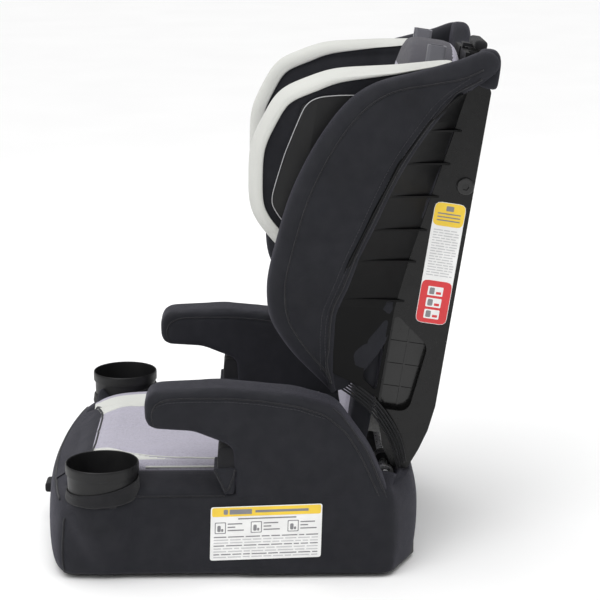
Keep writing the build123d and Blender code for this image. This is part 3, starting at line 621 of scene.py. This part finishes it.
ARM = (
    (0, 92), (-4, 162), (-48, 180), (-104, 184), (-106, 229), (-18, 233), (70, 224), (118, 210),
    (158, 153), (184, 92),
)
ARM_ROUND = (0, 12, 34, 16, 22, 90, 60, 40, 120, 0)
ARM_SEAM = (
    (-93, 181), (-97, 196), (-96, 208), (-90, 217), (-77, 221), (-52, 222), (-10, 222), (26, 219),
    (71, 212), (104, 201), (128, 180), (145, 152), (159, 121), (167, 102),
)
ARM_REAR = ((114, 210), (134, 190), (152, 158), (168, 118), (176, 100))

arm = slab("armrest", fillet_line(ARM, ARM_ROUND, 8), 160.5, 216, 9, 4, 3)
places, outward = read(arm), normals(arm)
# The foam crowns the side faces.
y, z = places[:, 1] / MM, places[:, 2] / MM
crown = 1.6 * np.clip((z - 120) / 60, 0, 1) * np.clip((y + 100) / 30, 0, 1)
places[:, 0] += np.sign(outward[:, 0]) * (np.abs(outward[:, 0]) > 0.6) * crown * MM
write(arm, places)
outer_seam, inner_seam = ([base(x, y, z) for y, z in ARM_SEAM] for x in (217, 160))
groove(arm, outer_seam, 5, 1.4)
groove(arm, inner_seam, 5, 1.2)
rounded(arm)
arm_skin = surface(arm)
pair(arm, "armrest_fabric", "base", "black_fabric", ["armrest_cover"])
lines = [laid(outer_seam, arm_skin, 0.1), laid(inner_seam, arm_skin, 0.1)]
pair(tubes("arm_seam", lines, 0.9), "arm_piping", "base", "piping")
below = [(x, y, z - 4 * MM) for x, y, z in outer_seam[2:10]]
pair(sewn("arm_thread", stitches(below, arm_skin), 0.32), "arm_stitches", "base", "thread")
arm_rear = laid([base(214, y, z) for y, z in ARM_REAR], arm_skin, 0.2)
pair(tubes("arm_rear", [arm_rear], 1.1), "arm_rear_piping", "base", "piping")

# ---- notch gusset

riser_line = fillet_line([(-13, 104), (-27, 136), (2, 137), (-2, 104)], (3, 2, 2, 3), 3)
riser = slab("riser", riser_line, 165, 214.5, 2, 2.5, 2)
rounded(riser)
riser_skin = surface(riser)
pair(riser, "riser_fabric", "base", "black_fabric", ())
patch_line = fillet_line([(-22, 134), (-20, 162), (4, 162), (4, 134)], (3, 6, 2, 2), 3)
patch = slab("gusset", patch_line, 166, 211, 3, 2.5, 3)
rounded(patch)
pair(patch, "gusset_fabric", "base", "elastic", ["notch_gusset"])
NOTCH = ((-26, 135), (-20, 122), (-13, 109), (-8, 112), (-3, 124), (1, 136))
notch_line = [base(218, y, z) for y, z in NOTCH]
side_line = [base(218, y, 107) for y in (-116, -90, -60, -30, -13)]
lines = [laid(notch_line, riser_skin, 0.3), laid(side_line, cover_skin, 0.2)]
pair(tubes("notch_line", lines, 1.1), "notch_piping", "base", "piping")

# ---- seat

# The pad's front rolls down: places along the seat, each with the pad's greatest height there.
ROLL_Y = (-232, -228, -220, -205, -190, -175, -158, -140)
ROLL_TOP = (78.8, 84.8, 91.8, 101.8, 110.3, 116.3, 120.3, 124.8)
# The edge between the mesh centre and its pale border: y, and x on the left side.
PANEL_Y, PANEL_X = (-180, -160, -135, -105, -70, -30, 40, 110), (72, 82, 96, 106, 111, 114, 115, 115.5)
INSERT_Y = -178  # front edge of the mesh


def insert_y(x):
    """The front edge of the mesh, which bends forward towards its ends."""
    return INSERT_Y - 14 * max(0, (abs(x) - 60) / 58) ** 2


seat = node_copy("seat_mesh", "seat_pad")
stuffed(seat, 5, 5, 2)
places = read(seat) / MM
places[:, 2] = np.minimum(places[:, 2], np.interp(places[:, 1], ROLL_Y, ROLL_TOP))
write(seat, places * MM)
groove(seat, [base(x, INSERT_Y, 115) for x in range(-112, 113, 16)], 6, 2)
for side in (1, -1):
    groove(seat, [base(side * x, y, 119) for y, x in zip(PANEL_Y, PANEL_X)], 5, 1.6)
for x in (-62, 0, 62):
    groove(seat, [base(x, y, 119) for y in range(-176, 100, 12)], 6, 2.2)
rounded(seat)
seat_skin = surface(seat)
done(seat, "base", "mesh_fabric", ["seat_pad"])
seat.data.materials.append(SKINS["black_fabric"])
seat.data.materials.append(SKINS["light_fabric"])
for face in seat.data.polygons:
    x, y = abs(face.center.x) / MM, face.center.y / MM
    if y < insert_y(x):
        face.material_index = 1
    elif x > np.interp(y, PANEL_Y, PANEL_X):
        face.material_index = 2
line = laid([base(x, insert_y(x), 118) for x in range(-117, 118, 9)], seat_skin, 0.3)
done(tubes("insert_piping", [line], 1.3), "base", "piping")
lines = [[base(side * x, y, 120) for y, x in zip(PANEL_Y, PANEL_X)] for side in (1, -1)]
lines = [laid(line, seat_skin, 0.05) for line in lines]
done(tubes("seat_panel_piping", lines, 0.9), "base", "light_fabric")

# The raised side: its section, and along the seat how far the top drops and the ends draw in.
BOLSTER = (
    (117, 98), (117.5, 108), (119, 112), (124, 116), (131, 120.5), (138, 123.5), (146, 124), (153, 122),
    (157, 118), (158, 110), (158, 98), (137, 97),
)
BOLSTER_RUN = (
    (112, 10, 3), (111, 4, 1), (107, 1, 0), (80, 0, 0), (40, 0, 0), (0, 0, 0), (-40, 0, 0), (-80, 0, 0),
    (-110, 0, 0), (-140, 1, 0), (-160, 3, 0), (-175, 7, 0), (-188, 13, 0), (-198, 19, 1), (-205, 24, 2),
)
rows = []
for y, drop, pull in BOLSTER_RUN:
    ring = []
    for x, z in BOLSTER:
        floor_z = 97 if z < 99 else 98
        ring.append(base(x + (pull if x < 137 else -pull), y, max(floor_z, z - drop)))
    rows.append(ring + ring[:1])
bolster = skin("seat_side", capped(rows))
cup_room(bolster, 1, 41.5)
rounded(bolster, 2)
bolster_skin = surface(bolster)
for piece in pair(bolster, "seat_side_fabric", "base", "mesh_fabric", ["seat_bolster"]):
    piece.data.materials.append(SKINS["light_fabric"])
    piece.data.materials.append(SKINS["black_fabric"])
    for face in piece.data.polygons:
        if face.center.y < -192 * MM:
            face.material_index = 2
        elif abs(face.center.x) < 139 * MM:
            face.material_index = 1
edge = laid([base(SEAT_EDGE, y, 121) for y in (-108, -80, -40, 0, 40, 80, 110)], bolster_skin, 0.6)
pair(tubes("seat_edge", [edge], 1.4), "seat_edge_piping", "base", "light_fabric")

# ---- cup collars

# The collar's section: radius and height, from its foot up the outside and down the inside.
COLLAR = (
    (41.0, 99), (43.2, 98), (44.4, 101), (44.0, 106), (43.3, 111), (43.2, 116), (42.4, 119), (41.2, 118),
    (40.9, 110), (41.0, 99),
)
rows = []
for k in range(49):
    angle = 2 * pi * k / 48
    tilt = 7 * cos(angle - radians(105)) - 3
    ring = []
    for radius, height in COLLAR:
        if 103 < height < 115:
            radius += 0.35 * sin(24 * angle)  # the elastic gathers the cloth
        lift = tilt * (height - 92) / 26
        ring.append(base(CUP_X + radius * cos(angle), CUP_Y + radius * sin(angle), height + lift))
    rows.append(ring)
collar = skin("collar", rows)
rounded(collar)
pair(collar, "cup_collar_elastic", "base", "elastic", ["cup_collar"])

# The cup's section: radius and height, from under its floor up the outside and down the inside.
CUP = (
    (0, 65.5), (34, 65.3), (38.5, 66.5), (40.4, 70), (40.6, 90), (40.7, 112), (40.9, 125.5),
    (41.3, 127.6), (42.9, 128.2), (43.0, 130), (43.0, 137), (42.8, 139.3), (42.1, 140.1), (41.3, 139.4),
    (41.0, 137), (40.4, 128), (39.2, 100), (38.3, 74), (36.5, 69.5), (30, 68.2), (0, 68),
)
rows = []
for k in range(73):
    angle = 2 * pi * k / 72
    rows.append([base(CUP_X + r * cos(angle), CUP_Y + r * sin(angle), z) for r, z in CUP])
cup = skin("cup_body_left", rows)
for piece, name in ((cup, "cup_left"), (mirrored(cup, "cup_body_right"), "cup_right")):
    only(piece)
    bpy.ops.object.shade_smooth_by_angle(angle=radians(40))
    done(piece, name, "moulded_plastic", [name])

# ---- torso wings

# Stations from the wing's foot, up its front edge and over its top: the front edge's v and w,
# the hem's v and w, how far out each stands, and the thickness there.
WING = (
    (-79, 91, -76, 95, 156, 154, 8),
    (-94, 103, -80, 105, 158, 156, 14),
    (-113, 117, -83, 117, 163, 160, 20),
    (-135, 135, -86, 138, 171, 163, 24),
    (-155, 158, -89, 160, 180, 168, 28),
    (-168, 176, -91, 180, 186, 171, 31),
    (-174, 200, -92, 198, 191, 174, 33),
    (-177.5, 224, -84, 220, 196, 178, 34),
    (-175, 256, -77, 258, 200, 184, 34),
    (-172, 283, -70, 284, 202, 187, 34),
    (-169, 310, -62, 311, 203, 189, 34),
    (-163, 338, -54, 341, 203, 190, 34),
    (-153, 370, -44, 372, 203, 190, 34),
    (-141, 400, -32, 400, 203, 190, 34),
    (-125, 431, -20, 423, 202, 188, 34),
    (-107, 453, -11, 438, 200, 186, 34),
    (-84, 469, -3, 450, 199, 184, 34),
    (-53, 480, 5, 460, 197, 181, 33),
    (-21, 494, 13, 468, 194, 178, 31),
    (5, 505, 21, 474, 190, 176, 29),
    (18, 514, 26, 478, 187, 175, 27),
    (30, 518, 31, 481, 184, 175, 26),
    (41, 516, 35, 484, 181, 174, 24),
    (46.5, 509, 38, 488, 179, 173, 20),
    (47.5, 500, 41, 492, 177, 173, 12),
)
# Where the wing's back leaves the shell's side: w up the back and v there.
ROOT_W = (76, 207, 253, 292, 337, 373, 413, 461, 500)
ROOT_V = (-22, -21, -15, -9, 0, 5, 12, 18.6, 26)


def closing(root_x, root, hem_x, hem_at, number):
    """The wing's back, kept just in front of the frame's plate, and its lip round the hem."""
    along = Vector((hem_x - root_x, hem_at[0] - root[0]))
    along = along.normalized() if along.length > 6 else Vector((0.6, -0.8))
    out = Vector((-along.y, along.x)) if number > 4 else Vector((0.4, 0.4))
    inside, proud = out * -2.2, out * 1.4
    near, far = Vector((root_x, root[0])), Vector((hem_x, hem_at[0]))
    spots = []
    for share, shift in ((0.04, inside), (0.35, inside), (0.7, inside), (0.96, inside), (1.0, proud)):
        u, v = near.lerp(far, share) + shift
        spots.append((u, Vector((v, root[1] + (hem_at[1] - root[1]) * share))))
    return spots


rows = []
for number, (fv, fw, hv, hw, front_x, hem_x, thick) in enumerate(WING):
    front, hem_at = Vector((fv, fw)), Vector((hv, hw))
    way = (front - hem_at).normalized()
    radius = min(thick / 2, (front - hem_at).length * 0.4)
    tip = front - way * radius
    low = min(hw, 466)
    root = Vector((float(np.interp(low, ROOT_W, ROOT_V)) + 1, low))
    root_x = 141 + 12 * max(0, min(1, (number - 17) / 3))
    if number < 4:
        root = hem_at.lerp(root, (number + 1) / 5)
        root_x = hem_x - thick * 0.6
    loop = [
        (hem_x + 3.5, hem_at + way * 3),
        (hem_x + 7, hem_at + way * 9),
        (hem_x * 0.68 + front_x * 0.32 + 5, hem_at.lerp(tip, 0.2)),
        (hem_x * 0.35 + front_x * 0.65 + 4, hem_at.lerp(tip, 0.42)),
        (front_x * 0.9 + hem_x * 0.1 + 2.5, hem_at.lerp(tip, 0.68)),
        (front_x + 1, tip - way * 6),
        (front_x - 1, tip + way * radius * 0.45),
        (front_x - thick * 0.22, tip + way * radius * 0.9),
        (front_x - thick * 0.5, tip + way * radius * 1.04),
        (front_x - thick * 0.78, tip + way * radius * 0.9),
        (front_x - thick * 0.97, tip + way * radius * 0.4),
        (front_x - thick, tip - way * 8),
        (front_x - thick - 0.5, tip.lerp(root, 0.33)),
        (front_x - thick - 1, tip.lerp(root, 0.66)),
        ((front_x - thick + root_x) / 2 - 1, tip.lerp(root, 0.87)),
        (root_x - 1.5, root),
        *closing(root_x, root, hem_x, hem_at, number),
    ]
    rows.append([back(u, *place) for u, place in loop + loop[:1]])
wing = skin("wing", capped(rows))
rounded(wing, 2)
wing_skin = surface(wing)


def wing_line(offset, first, last, hem=False):
    """A line on the wing's outer face, this far inside its front edge or its hem."""
    line = []
    for fv, fw, hv, hw, front_x, hem_x, _ in WING[first:last]:
        start, end, x = Vector((fv, fw)), Vector((hv, hw)), front_x + 12
        if hem:
            start, end, x = end, start, hem_x + 14
        line.append(back(x, *(start + (end - start).normalized() * offset)))
    return [wing_skin.find_nearest(Vector(p))[0] for p in soft_line(line, 2 * len(line), 1)]


front_seam = wing_line(20, 1, 22)
groove(wing, front_seam, 4, 0.9)
groove(wing, wing_line(11, 2, 20, True), 4.5, 0.8)
wing_skin = surface(wing)
pair(wing, "wing_fabric", "backrest", "black_fabric", ["wing_cover"])
pair(tubes("wing_seam", [laid(front_seam, wing_skin, 0.1, 120)], 1.0), "wing_piping", "backrest", "piping")
runs = stitches(wing_line(8, 2, 20, True), wing_skin) + stitches(wing_line(14, 2, 20, True), wing_skin)
pair(sewn("wing_thread", runs, 0.34), "wing_stitches", "backrest", "thread")
hem = laid(wing_line(0.5, 1, 22, True), wing_skin, 0.2, 120)
pair(tubes("wing_hem", [hem], 1.5), "wing_hem_binding", "backrest", "piping")

# ---- top of the backrest

# Height of the roll's top at each u out from the middle.
COWL_U = (0, 60, 98, 114, 126, 137, 150, 165, 176)
COWL_TOP = (493, 493.5, 494, 497, 504, 513, 518.5, 519.5, 517)
COWL_LOW = 476
rows = []
for u in np.linspace(-176, 176, 45):
    top = float(np.interp(abs(u), COWL_U, COWL_TOP))
    front = 26 if abs(u) < 110 else 26 - 4 * min(1, (abs(u) - 110) / 30)
    loop = [
        (48.4, COWL_LOW + 1), (48.6, COWL_LOW + 8), (48.4, (COWL_LOW + top) / 2 + 2), (47.5, top - 9),
        (44.5, top - 3), (40, top - 0.3), (36, top), (front + 5, top - 0.6), (front + 1.5, top - 4),
        (front, top - 10), (front + 0.3, COWL_LOW + 8), (front + 2, COWL_LOW + 1), (34, COWL_LOW - 1),
        (45, COWL_LOW - 2),
    ]
    rows.append([back(u, v, w) for v, w in loop + loop[:1]])
cowl = skin("top_roll", capped(rows))
rounded(cowl)
cowl_skin = surface(cowl)
done(cowl, "backrest", "black_fabric", ["top_cowl"])
line = [back(u, 50, COWL_LOW) for u in range(-168, 169, 12)]
done(sewn("top_stitches", stitches(line, cowl_skin), 0.34), "backrest", "thread")

# ---- back pads

pad = node_copy("back_mesh", "back_pad")
stuffed(pad, 5, 6, 2)
for w in (95, 165, 235):
    groove(pad, [back(u, -56, w) for u in range(-96, 97, 12)], 7, 2.4)
rounded(pad)
done(pad, "backrest", "mesh_fabric", ["back_pad"])
side_pad = node_copy("back_side", "back_bolster_left")
stuffed(side_pad, 4, 4, 1.2)
rounded(side_pad)
pair(side_pad, "back_side_fabric", "backrest", "black_fabric", ["back_bolster"])

# ---- headrest

HEAD = ((8, 288), (-70, 256), (-150, 240), (-208, 290), (-219, 370), (-196, 436), (-140, 468), (8, 498))
HEAD_ROUND = (5, 60, 35, 60, 80, 45, 90, 5)
# Plan of the head wing: u of its outer and inner face at each v.
OUTER_V, OUTER_U = (-222, -150, -66, -14, 25), (161, 165, 162, 136, 132)
INNER_V, INNER_U = (-222, -70, -20, 16), (129, 126, 108, 104)


def head_u(v, share):
    """Between the head wing's outer face at 0 and its inner face at 1."""
    outer = float(np.interp(v, OUTER_V, OUTER_U))
    inner = float(np.interp(v, INNER_V, INNER_U))
    return outer + (inner - outer) * share


outline = even(fillet_line(HEAD, HEAD_ROUND, 8), 110, True)
heart = np.array((-105.0, 362.0))


def ring_at(depth):
    """The head wing's outline, drawn in by this much."""
    line = outline.copy()
    for _ in range(3):
        line = 0.25 * np.roll(line, 1, 0) + 0.5 * line + 0.25 * np.roll(line, -1, 0)
    along = np.roll(line, -1, 0) - np.roll(line, 1, 0)
    along /= np.linalg.norm(along, axis=1, keepdims=True)
    inward = np.stack([-along[:, 1], along[:, 0]], 1)
    inward *= np.sign((inward * (heart - line)).sum(1, keepdims=True))
    return line + inward * depth


def head_ring(depth, share, lift, pull=0.0):
    """A ring round the head wing; lift moves it out along u, pull draws it to the middle."""
    line = ring_at(depth)
    line = line + (heart - line) * pull
    points = [back(head_u(v, share) + lift, v, w) for v, w in line]
    return points + points[:1]


# Rings from the middle of the outer face, round the rim and to the middle of the inner face.
HEAD_RINGS = (
    (34, 0, -4.5, 0.97), (34, 0, -4.5, 0.6), (34, 0, -4.5, 0.2), (30, 0, -4.5), (22, 0, -4),
    (14, 0, -0.6), (7, 0.03, 0), (2.5, 0.16, 0), (0.4, 0.35, 0), (0, 0.5, 0), (0.4, 0.68, 0),
    (2.5, 0.88, 0), (8, 0.98, 0), (15, 1, 0.5), (18, 1, 2.2), (22, 1, 0.5), (30, 1, -2),
    (34, 1, -3.5, 0.2), (34, 1, -5, 0.6), (34, 1, -5.5, 0.97),
)
head_wing = skin("head_wing", capped([head_ring(*ring) for ring in HEAD_RINGS]))
rounded(head_wing)
pair(head_wing, "head_wing_fabric", "headrest", "black_fabric", ["head_wing_cover"])

# The pale band wraps the head wing's rim and thins out to the rear.
BAND_WIDTH = 16
BAND_ACROSS = (
    (BAND_WIDTH, 0.0), (BAND_WIDTH * 0.6, 0.0), (7, 0.03), (2.5, 0.16), (0.4, 0.35), (0, 0.5),
    (0.4, 0.68), (2.5, 0.88), (8, 0.98), (BAND_WIDTH, 1.0),
)
rim_line = ring_at(0)
order = [i for i in range(len(rim_line)) if rim_line[i][0] < 2]
start = next(i for i in order if (i - 1) % len(rim_line) not in order)
order = [(start + k) % len(rim_line) for k in range(len(order))]
upward = rim_line[order[-1]][1] > rim_line[order[0]][1]
low_fade, high_fade = (9, 22) if upward else (22, 9)
rows = []
for k, i in enumerate(order):
    share = min(k / low_fade, (len(order) - 1 - k) / high_fade)
    width = BAND_WIDTH * min(1, 0.2 + share * 0.8)
    outer_side, inner_side = [], []
    for n, (depth, across) in enumerate(BAND_ACROSS):
        depth = width * 0.6 if n == 1 else min(depth, width)
        for proud, side in ((1.2, outer_side), (-0.8, inner_side)):
            place = ring_at(depth)[i]
            rim = place - heart
            rim /= np.linalg.norm(rim)
            edge = 1 - abs(across - 0.5) * 2
            v, w = place + rim * proud * edge
            bow = proud * (1 if across < 0.5 else -1 if across > 0.5 else 0) * (1 - edge)
            side.append(back(head_u(v, across) + bow + (0.4 if across == 0 else 0), v, w))
    loop = outer_side + inner_side[::-1]
    rows.append(loop + loop[:1])
band = skin("band", capped(rows))
rounded(band)
pair(band, "head_band_fabric", "headrest", "light_fabric", ["head_band"])
PLATE_EDGE = (
    (-110, 283), (-150, 277), (-168, 288), (-182, 303), (-185, 312), (-183, 331), (-178, 365),
    (-170, 399), (-164, 422), (-158, 431), (-147, 437), (-125, 442), (-90, 447), (-50, 453),
)
# A pale tube along the head plate's edge: a painted highlight, standing in for the light caught on that
# edge.
painted_highlight_line = [back(head_u(v, 0) + 0.3, v, w) for v, w in soft_line(PLATE_EDGE, 60, 1)]
pair(tubes("head_painted_highlight", [painted_highlight_line], 0.55), "head_edge_painted_highlight", "headrest", "edge_painted_highlight")



def in_back(places):
    """The v and w, in millimetres, of places in the shared frame."""
    y, z = (places[:, 1] - HINGE_Y * MM) / MM, (places[:, 2] - HINGE_Z * MM) / MM
    return y * cos(TILT) - z * sin(TILT), y * sin(TILT) + z * cos(TILT)


head_pad = node_copy("head_mesh", "head_pad")
even_skin(head_pad, 6, 2)
places = read(head_pad)
# The pad's top is crowned: it drops towards its sides and rounds off to the rear.
v, w = in_back(places)
side_drop = 34 * np.clip(np.abs(places[:, 0] / MM) / 84, 0, 1) ** 2.6
rear_drop = 10 * np.clip(v / 20, 0, 1) ** 2
drop = np.clip((w - 400) / 108, 0, 1) ** 2 * (side_drop + rear_drop)
places[:, 1] -= drop * sin(TILT) * MM
places[:, 2] -= drop * cos(TILT) * MM
write(head_pad, places)
stuffed(head_pad, 5, 5, 2)
groove(head_pad, [back(u, -52, 400) for u in range(-80, 81, 10)], 7, 2)
rounded(head_pad)
done(head_pad, "headrest", "mesh_fabric", ["head_pad"])
head_pad.data.materials.append(SKINS["grey_fabric"])
v, w = in_back(np.array([face.center for face in head_pad.data.polygons]))
for face, crown in zip(head_pad.data.polygons, (w > 470) & (v < 6)):
    face.material_index = int(crown)

# ---- small soft parts

ELASTIC = ((-84, 112), (-73, 105), (-52, 95), (-26, 80), (-1, 53), (13, 29), (18, 12))
strands = []
for k, (dv, dw) in enumerate(((4, 5.5), (2, 2.8), (0, 0), (-2, -2.8), (-4, -5.5))):
    strands.append([back(146.5 + 0.6 * (k % 2), v + dv, w + dw) for v, w in ELASTIC])
pair(tubes("hem_elastic", strands, 1.25), "hem_elastic_strands", "backrest", "elastic", ["hem_elastic"])

tab = node_copy("tab", "pull_tab")
even_skin(tab, 1.6, 2)
done(tab, "base", "elastic", ["pull_tab"])

# ---- labels


FILM_STEP = 0.35  # thickness of each printed block


def sheet_label(name, node, body, place, blocks):
    """A printed film: a sheet with plain panels, bars and lines, each block a thin plate."""
    parts = []
    for x0, y0, x1, y1, lift, radius, colour in blocks:
        line = fillet_line([(x0, y0), (x1, y0), (x1, y1), (x0, y1)], (radius,) * 4, 3)
        way = Vector(place(0, 0, lift)) - Vector(place(0, 0, lift - FILM_STEP))
        part = prism([place(a, b, lift - FILM_STEP) for a, b in line], way)
        part.data.materials.append(colour)
        parts.append(part)
    only(*parts)
    bpy.ops.object.join()
    piece = bpy.context.object
    piece.name = piece.data.name = name
    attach(piece, body)
    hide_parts(node)


def ink(name, colour):
    """Printed film: near one colour, with a slight sheen."""
    finish = Finish(name, 0.35, Coat_Weight=0.3)
    shades = ((0.3, [c * 0.93 for c in colour]), (0.7, [min(1, c * 1.04) for c in colour]))
    finish.spread(finish.noise(40, 3), shades)
    finish.spread(finish.noise(90, 3), ((0.3, 0.3), (0.7, 0.45)), "Roughness")
    return finish.bump(finish.noise(500, 2), 0.00003, 0.4)


def text_lines(levels, left, start_limit, right, shortest, longest, gap, height, lift, radius, colours):
    """Rows of short bars of random length, in place of lines of print."""
    bars = []
    for row, level in enumerate(levels):
        x = left
        while x < start_limit:
            length = float(rng.uniform(shortest, longest))
            colour = colours[row % len(colours)]
            bars.append((x, level, min(x + length, right), level + height, lift, radius, colour))
            x += length + gap
    return bars


WHITE, YELLOW = ink("film_white", (0.8, 0.8, 0.79)), ink("film_yellow", (0.82, 0.56, 0.03))
RED, GREY = ink("film_red", (0.62, 0.02, 0.025)), ink("print_grey", (0.2, 0.2, 0.21))
PALE = ink("print_pale", (0.5, 0.5, 0.51))
rng = np.random.default_rng(7)

# The sheet on the base's side. Blocks: two corners, lift, corner radius, colour.
blocks = [
    (-30, 26, 100, 92, 0.7, 3, WHITE),
    (-28.5, 80, 98.5, 91, 0.85, 2.5, YELLOW),
    (-15, 82.5, -10, 88.5, 1.0, 1.5, GREY),
    (-8, 82.5, 18, 88.5, 1.0, 0.5, GREY),
    (22, 84, 84, 87, 1.0, 0.5, GREY),
    (2, 76, 70, 77.6, 0.85, 0.3, GREY),
]
for x in (-25, 17, 60):
    blocks += [
        (x, 59, x + 13, 73, 0.85, 1, GREY),
        (x + 1, 60, x + 12, 72, 0.95, 0.8, WHITE),
        (x + 3, 61.5, x + 7, 69, 1.05, 1.5, GREY),
        (x + 7.5, 61.5, x + 10, 65, 1.05, 1, GREY),
    ]
    for z, length in ((70, 17), (66, 9), (62, 19)):
        blocks.append((x + 15, z, x + 15 + length, z + 1.4, 0.85, 0.3, GREY))
levels = (54, 50.4, 46.8, 43.2, 39.6, 36, 32.4, 29)
blocks += text_lines(levels, -26.0, 92, 96, 6, 20, 2, 1.3, 0.85, 0.3, (GREY, PALE, PALE))


def on_side(y, z, lift):
    """A place on the base's side, turned a little about the sheet's middle."""
    return base(216.2 + lift, y + (z - 59) * 0.03, z + (y - 35) * 0.03)


sheet_label("side_label_film", "side_label", "base", on_side, blocks)

# The sheet on the backrest shell's side, in v and w.
blocks = [
    (5, 188, 42, 334, 0.6, 8, WHITE),
    (5.6, 306, 41.4, 333.4, 0.75, 7, YELLOW),
    (5.6, 188.6, 41.4, 240, 0.75, 7, RED),
]
for low, high in ((222, 233), (208, 219), (194, 205)):
    blocks += [
        (14, low, 32, high, 0.9, 1, WHITE),
        (16, low + 1.5, 22, high - 1.5, 1.0, 1.5, GREY),
        (24, low + 2, 30, low + 5, 1.0, 0.6, RED),
    ]
levels = [float(w) for w in np.arange(246, 303, 3.2)]
blocks += text_lines(levels, 8.5, 36, 39, 3, 11, 1.2, 1.1, 0.75, 0.2, (PALE,))
blocks += [(10, w, 37, w + 1.4, 0.9, 0.3, GREY) for w in (312, 316, 320)]
blocks.append((19, 324, 28, 330, 0.9, 1, GREY))
sheet_label("back_label_film", "back_label", "backrest", lambda v, w, lift: back(140 + lift, v, w), blocks)

# ---- finishes on the CAD parts

FINISH_NODES = {
    "moulded_plastic": "base_shell base_tray armrest_frame height_rack head_shell pull_strip",
    "gloss_plastic": "back_shell",
    "frame_plastic": "wing_frame",
    "knob_plastic": "belt_pocket side_screw",
    "guide_plastic": "belt_guide",
    "elastic": "release_handle",
    "rubber": "base_feet",
    "foam": "seat_foam back_foam",
    "steel": "base_screws hinge_rod hinge_bracket rack_screws release_spring lock_bar",
}
NODE_FINISH = {node: finish for finish, nodes in FINISH_NODES.items() for node in nodes.split()}
for name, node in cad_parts.items():
    if node.hide_render:
        continue  # another piece stands for it
    finish = NODE_FINISH[name.removesuffix("_left").removesuffix("_right")]
    node.data.materials.clear()
    node.data.materials.append(SKINS[finish])
    only(node)
    bpy.ops.object.shade_smooth_by_angle(angle=radians(32))

# ---- floor, lights and camera

bpy.ops.object.select_all(action="DESELECT")
bpy.ops.mesh.primitive_circle_add(vertices=96, radius=30, fill_type="NGON")
floor = bpy.context.object
floor.name = "floor"
paint = Finish("pale_floor", 0.6)
paint.spread(paint.noise(3, 2), ((0.3, (0.93, 0.93, 0.93)), (0.7, (0.95, 0.95, 0.95))))
floor.data.materials.append(paint.material)

world = bpy.data.worlds.new("soft_white")
world.use_nodes = True
tree = world.node_tree
backdrop = tree.nodes["Background"]
backdrop.inputs["Color"].default_value = (1, 1, 1, 1)
seen, lit = tree.nodes.new("ShaderNodeLightPath"), tree.nodes.new("ShaderNodeMapRange")
# The backdrop is white to the camera and dimmer as a light.
lit.inputs["To Min"].default_value = 0.4
lit.inputs["To Max"].default_value = 1.0
tree.links.new(seen.outputs["Is Camera Ray"], lit.inputs["Value"])
tree.links.new(lit.outputs["Result"], backdrop.inputs["Strength"])
bpy.context.scene.world = world

sun = bpy.data.objects.new("overhead_light", bpy.data.lights.new("overhead_light", "SUN"))
sun.data.energy = 2.3
sun.data.angle = radians(70)
sun.rotation_euler = (radians(6), radians(14), 0)
bpy.context.scene.collection.objects.link(sun)


def softbox(name, place, aim, size, power):
    """A rectangular light aimed at a point, its power in watts."""
    light = bpy.data.lights.new(name, "AREA")
    light.shape = "RECTANGLE"
    light.size, light.size_y = size
    light.energy = power
    lamp = bpy.data.objects.new(name, light)
    lamp.location = place
    lamp.rotation_euler = (Vector(aim) - Vector(place)).to_track_quat("-Z", "Y").to_euler()
    bpy.context.scene.collection.objects.link(lamp)


softbox("key_softbox", (1.9, -1.5, 1.6), (0, 0, 0.3), (1.4, 1.4), 16)
softbox("rear_softbox", (1.0, 2.0, 1.7), (0, 0.1, 0.35), (1.0, 1.4), 7)
softbox("far_softbox", (-1.8, -0.8, 1.5), (0, 0, 0.3), (1.4, 1.4), 10)

camera = bpy.data.objects.new("camera", bpy.data.cameras.new("camera"))
camera.data.lens = 113.1
camera.data.sensor_width = 36
camera.location = (2.292, 0.032, 0.848)
camera.rotation_euler = (Vector((0, 0.0792, 0.285)) - camera.location).to_track_quat("-Z", "Y").to_euler()
bpy.context.scene.collection.objects.link(camera)
bpy.context.scene.camera = camera
bpy.context.scene.view_settings.view_transform = "Standard"

bpy.context.view_layer.update()
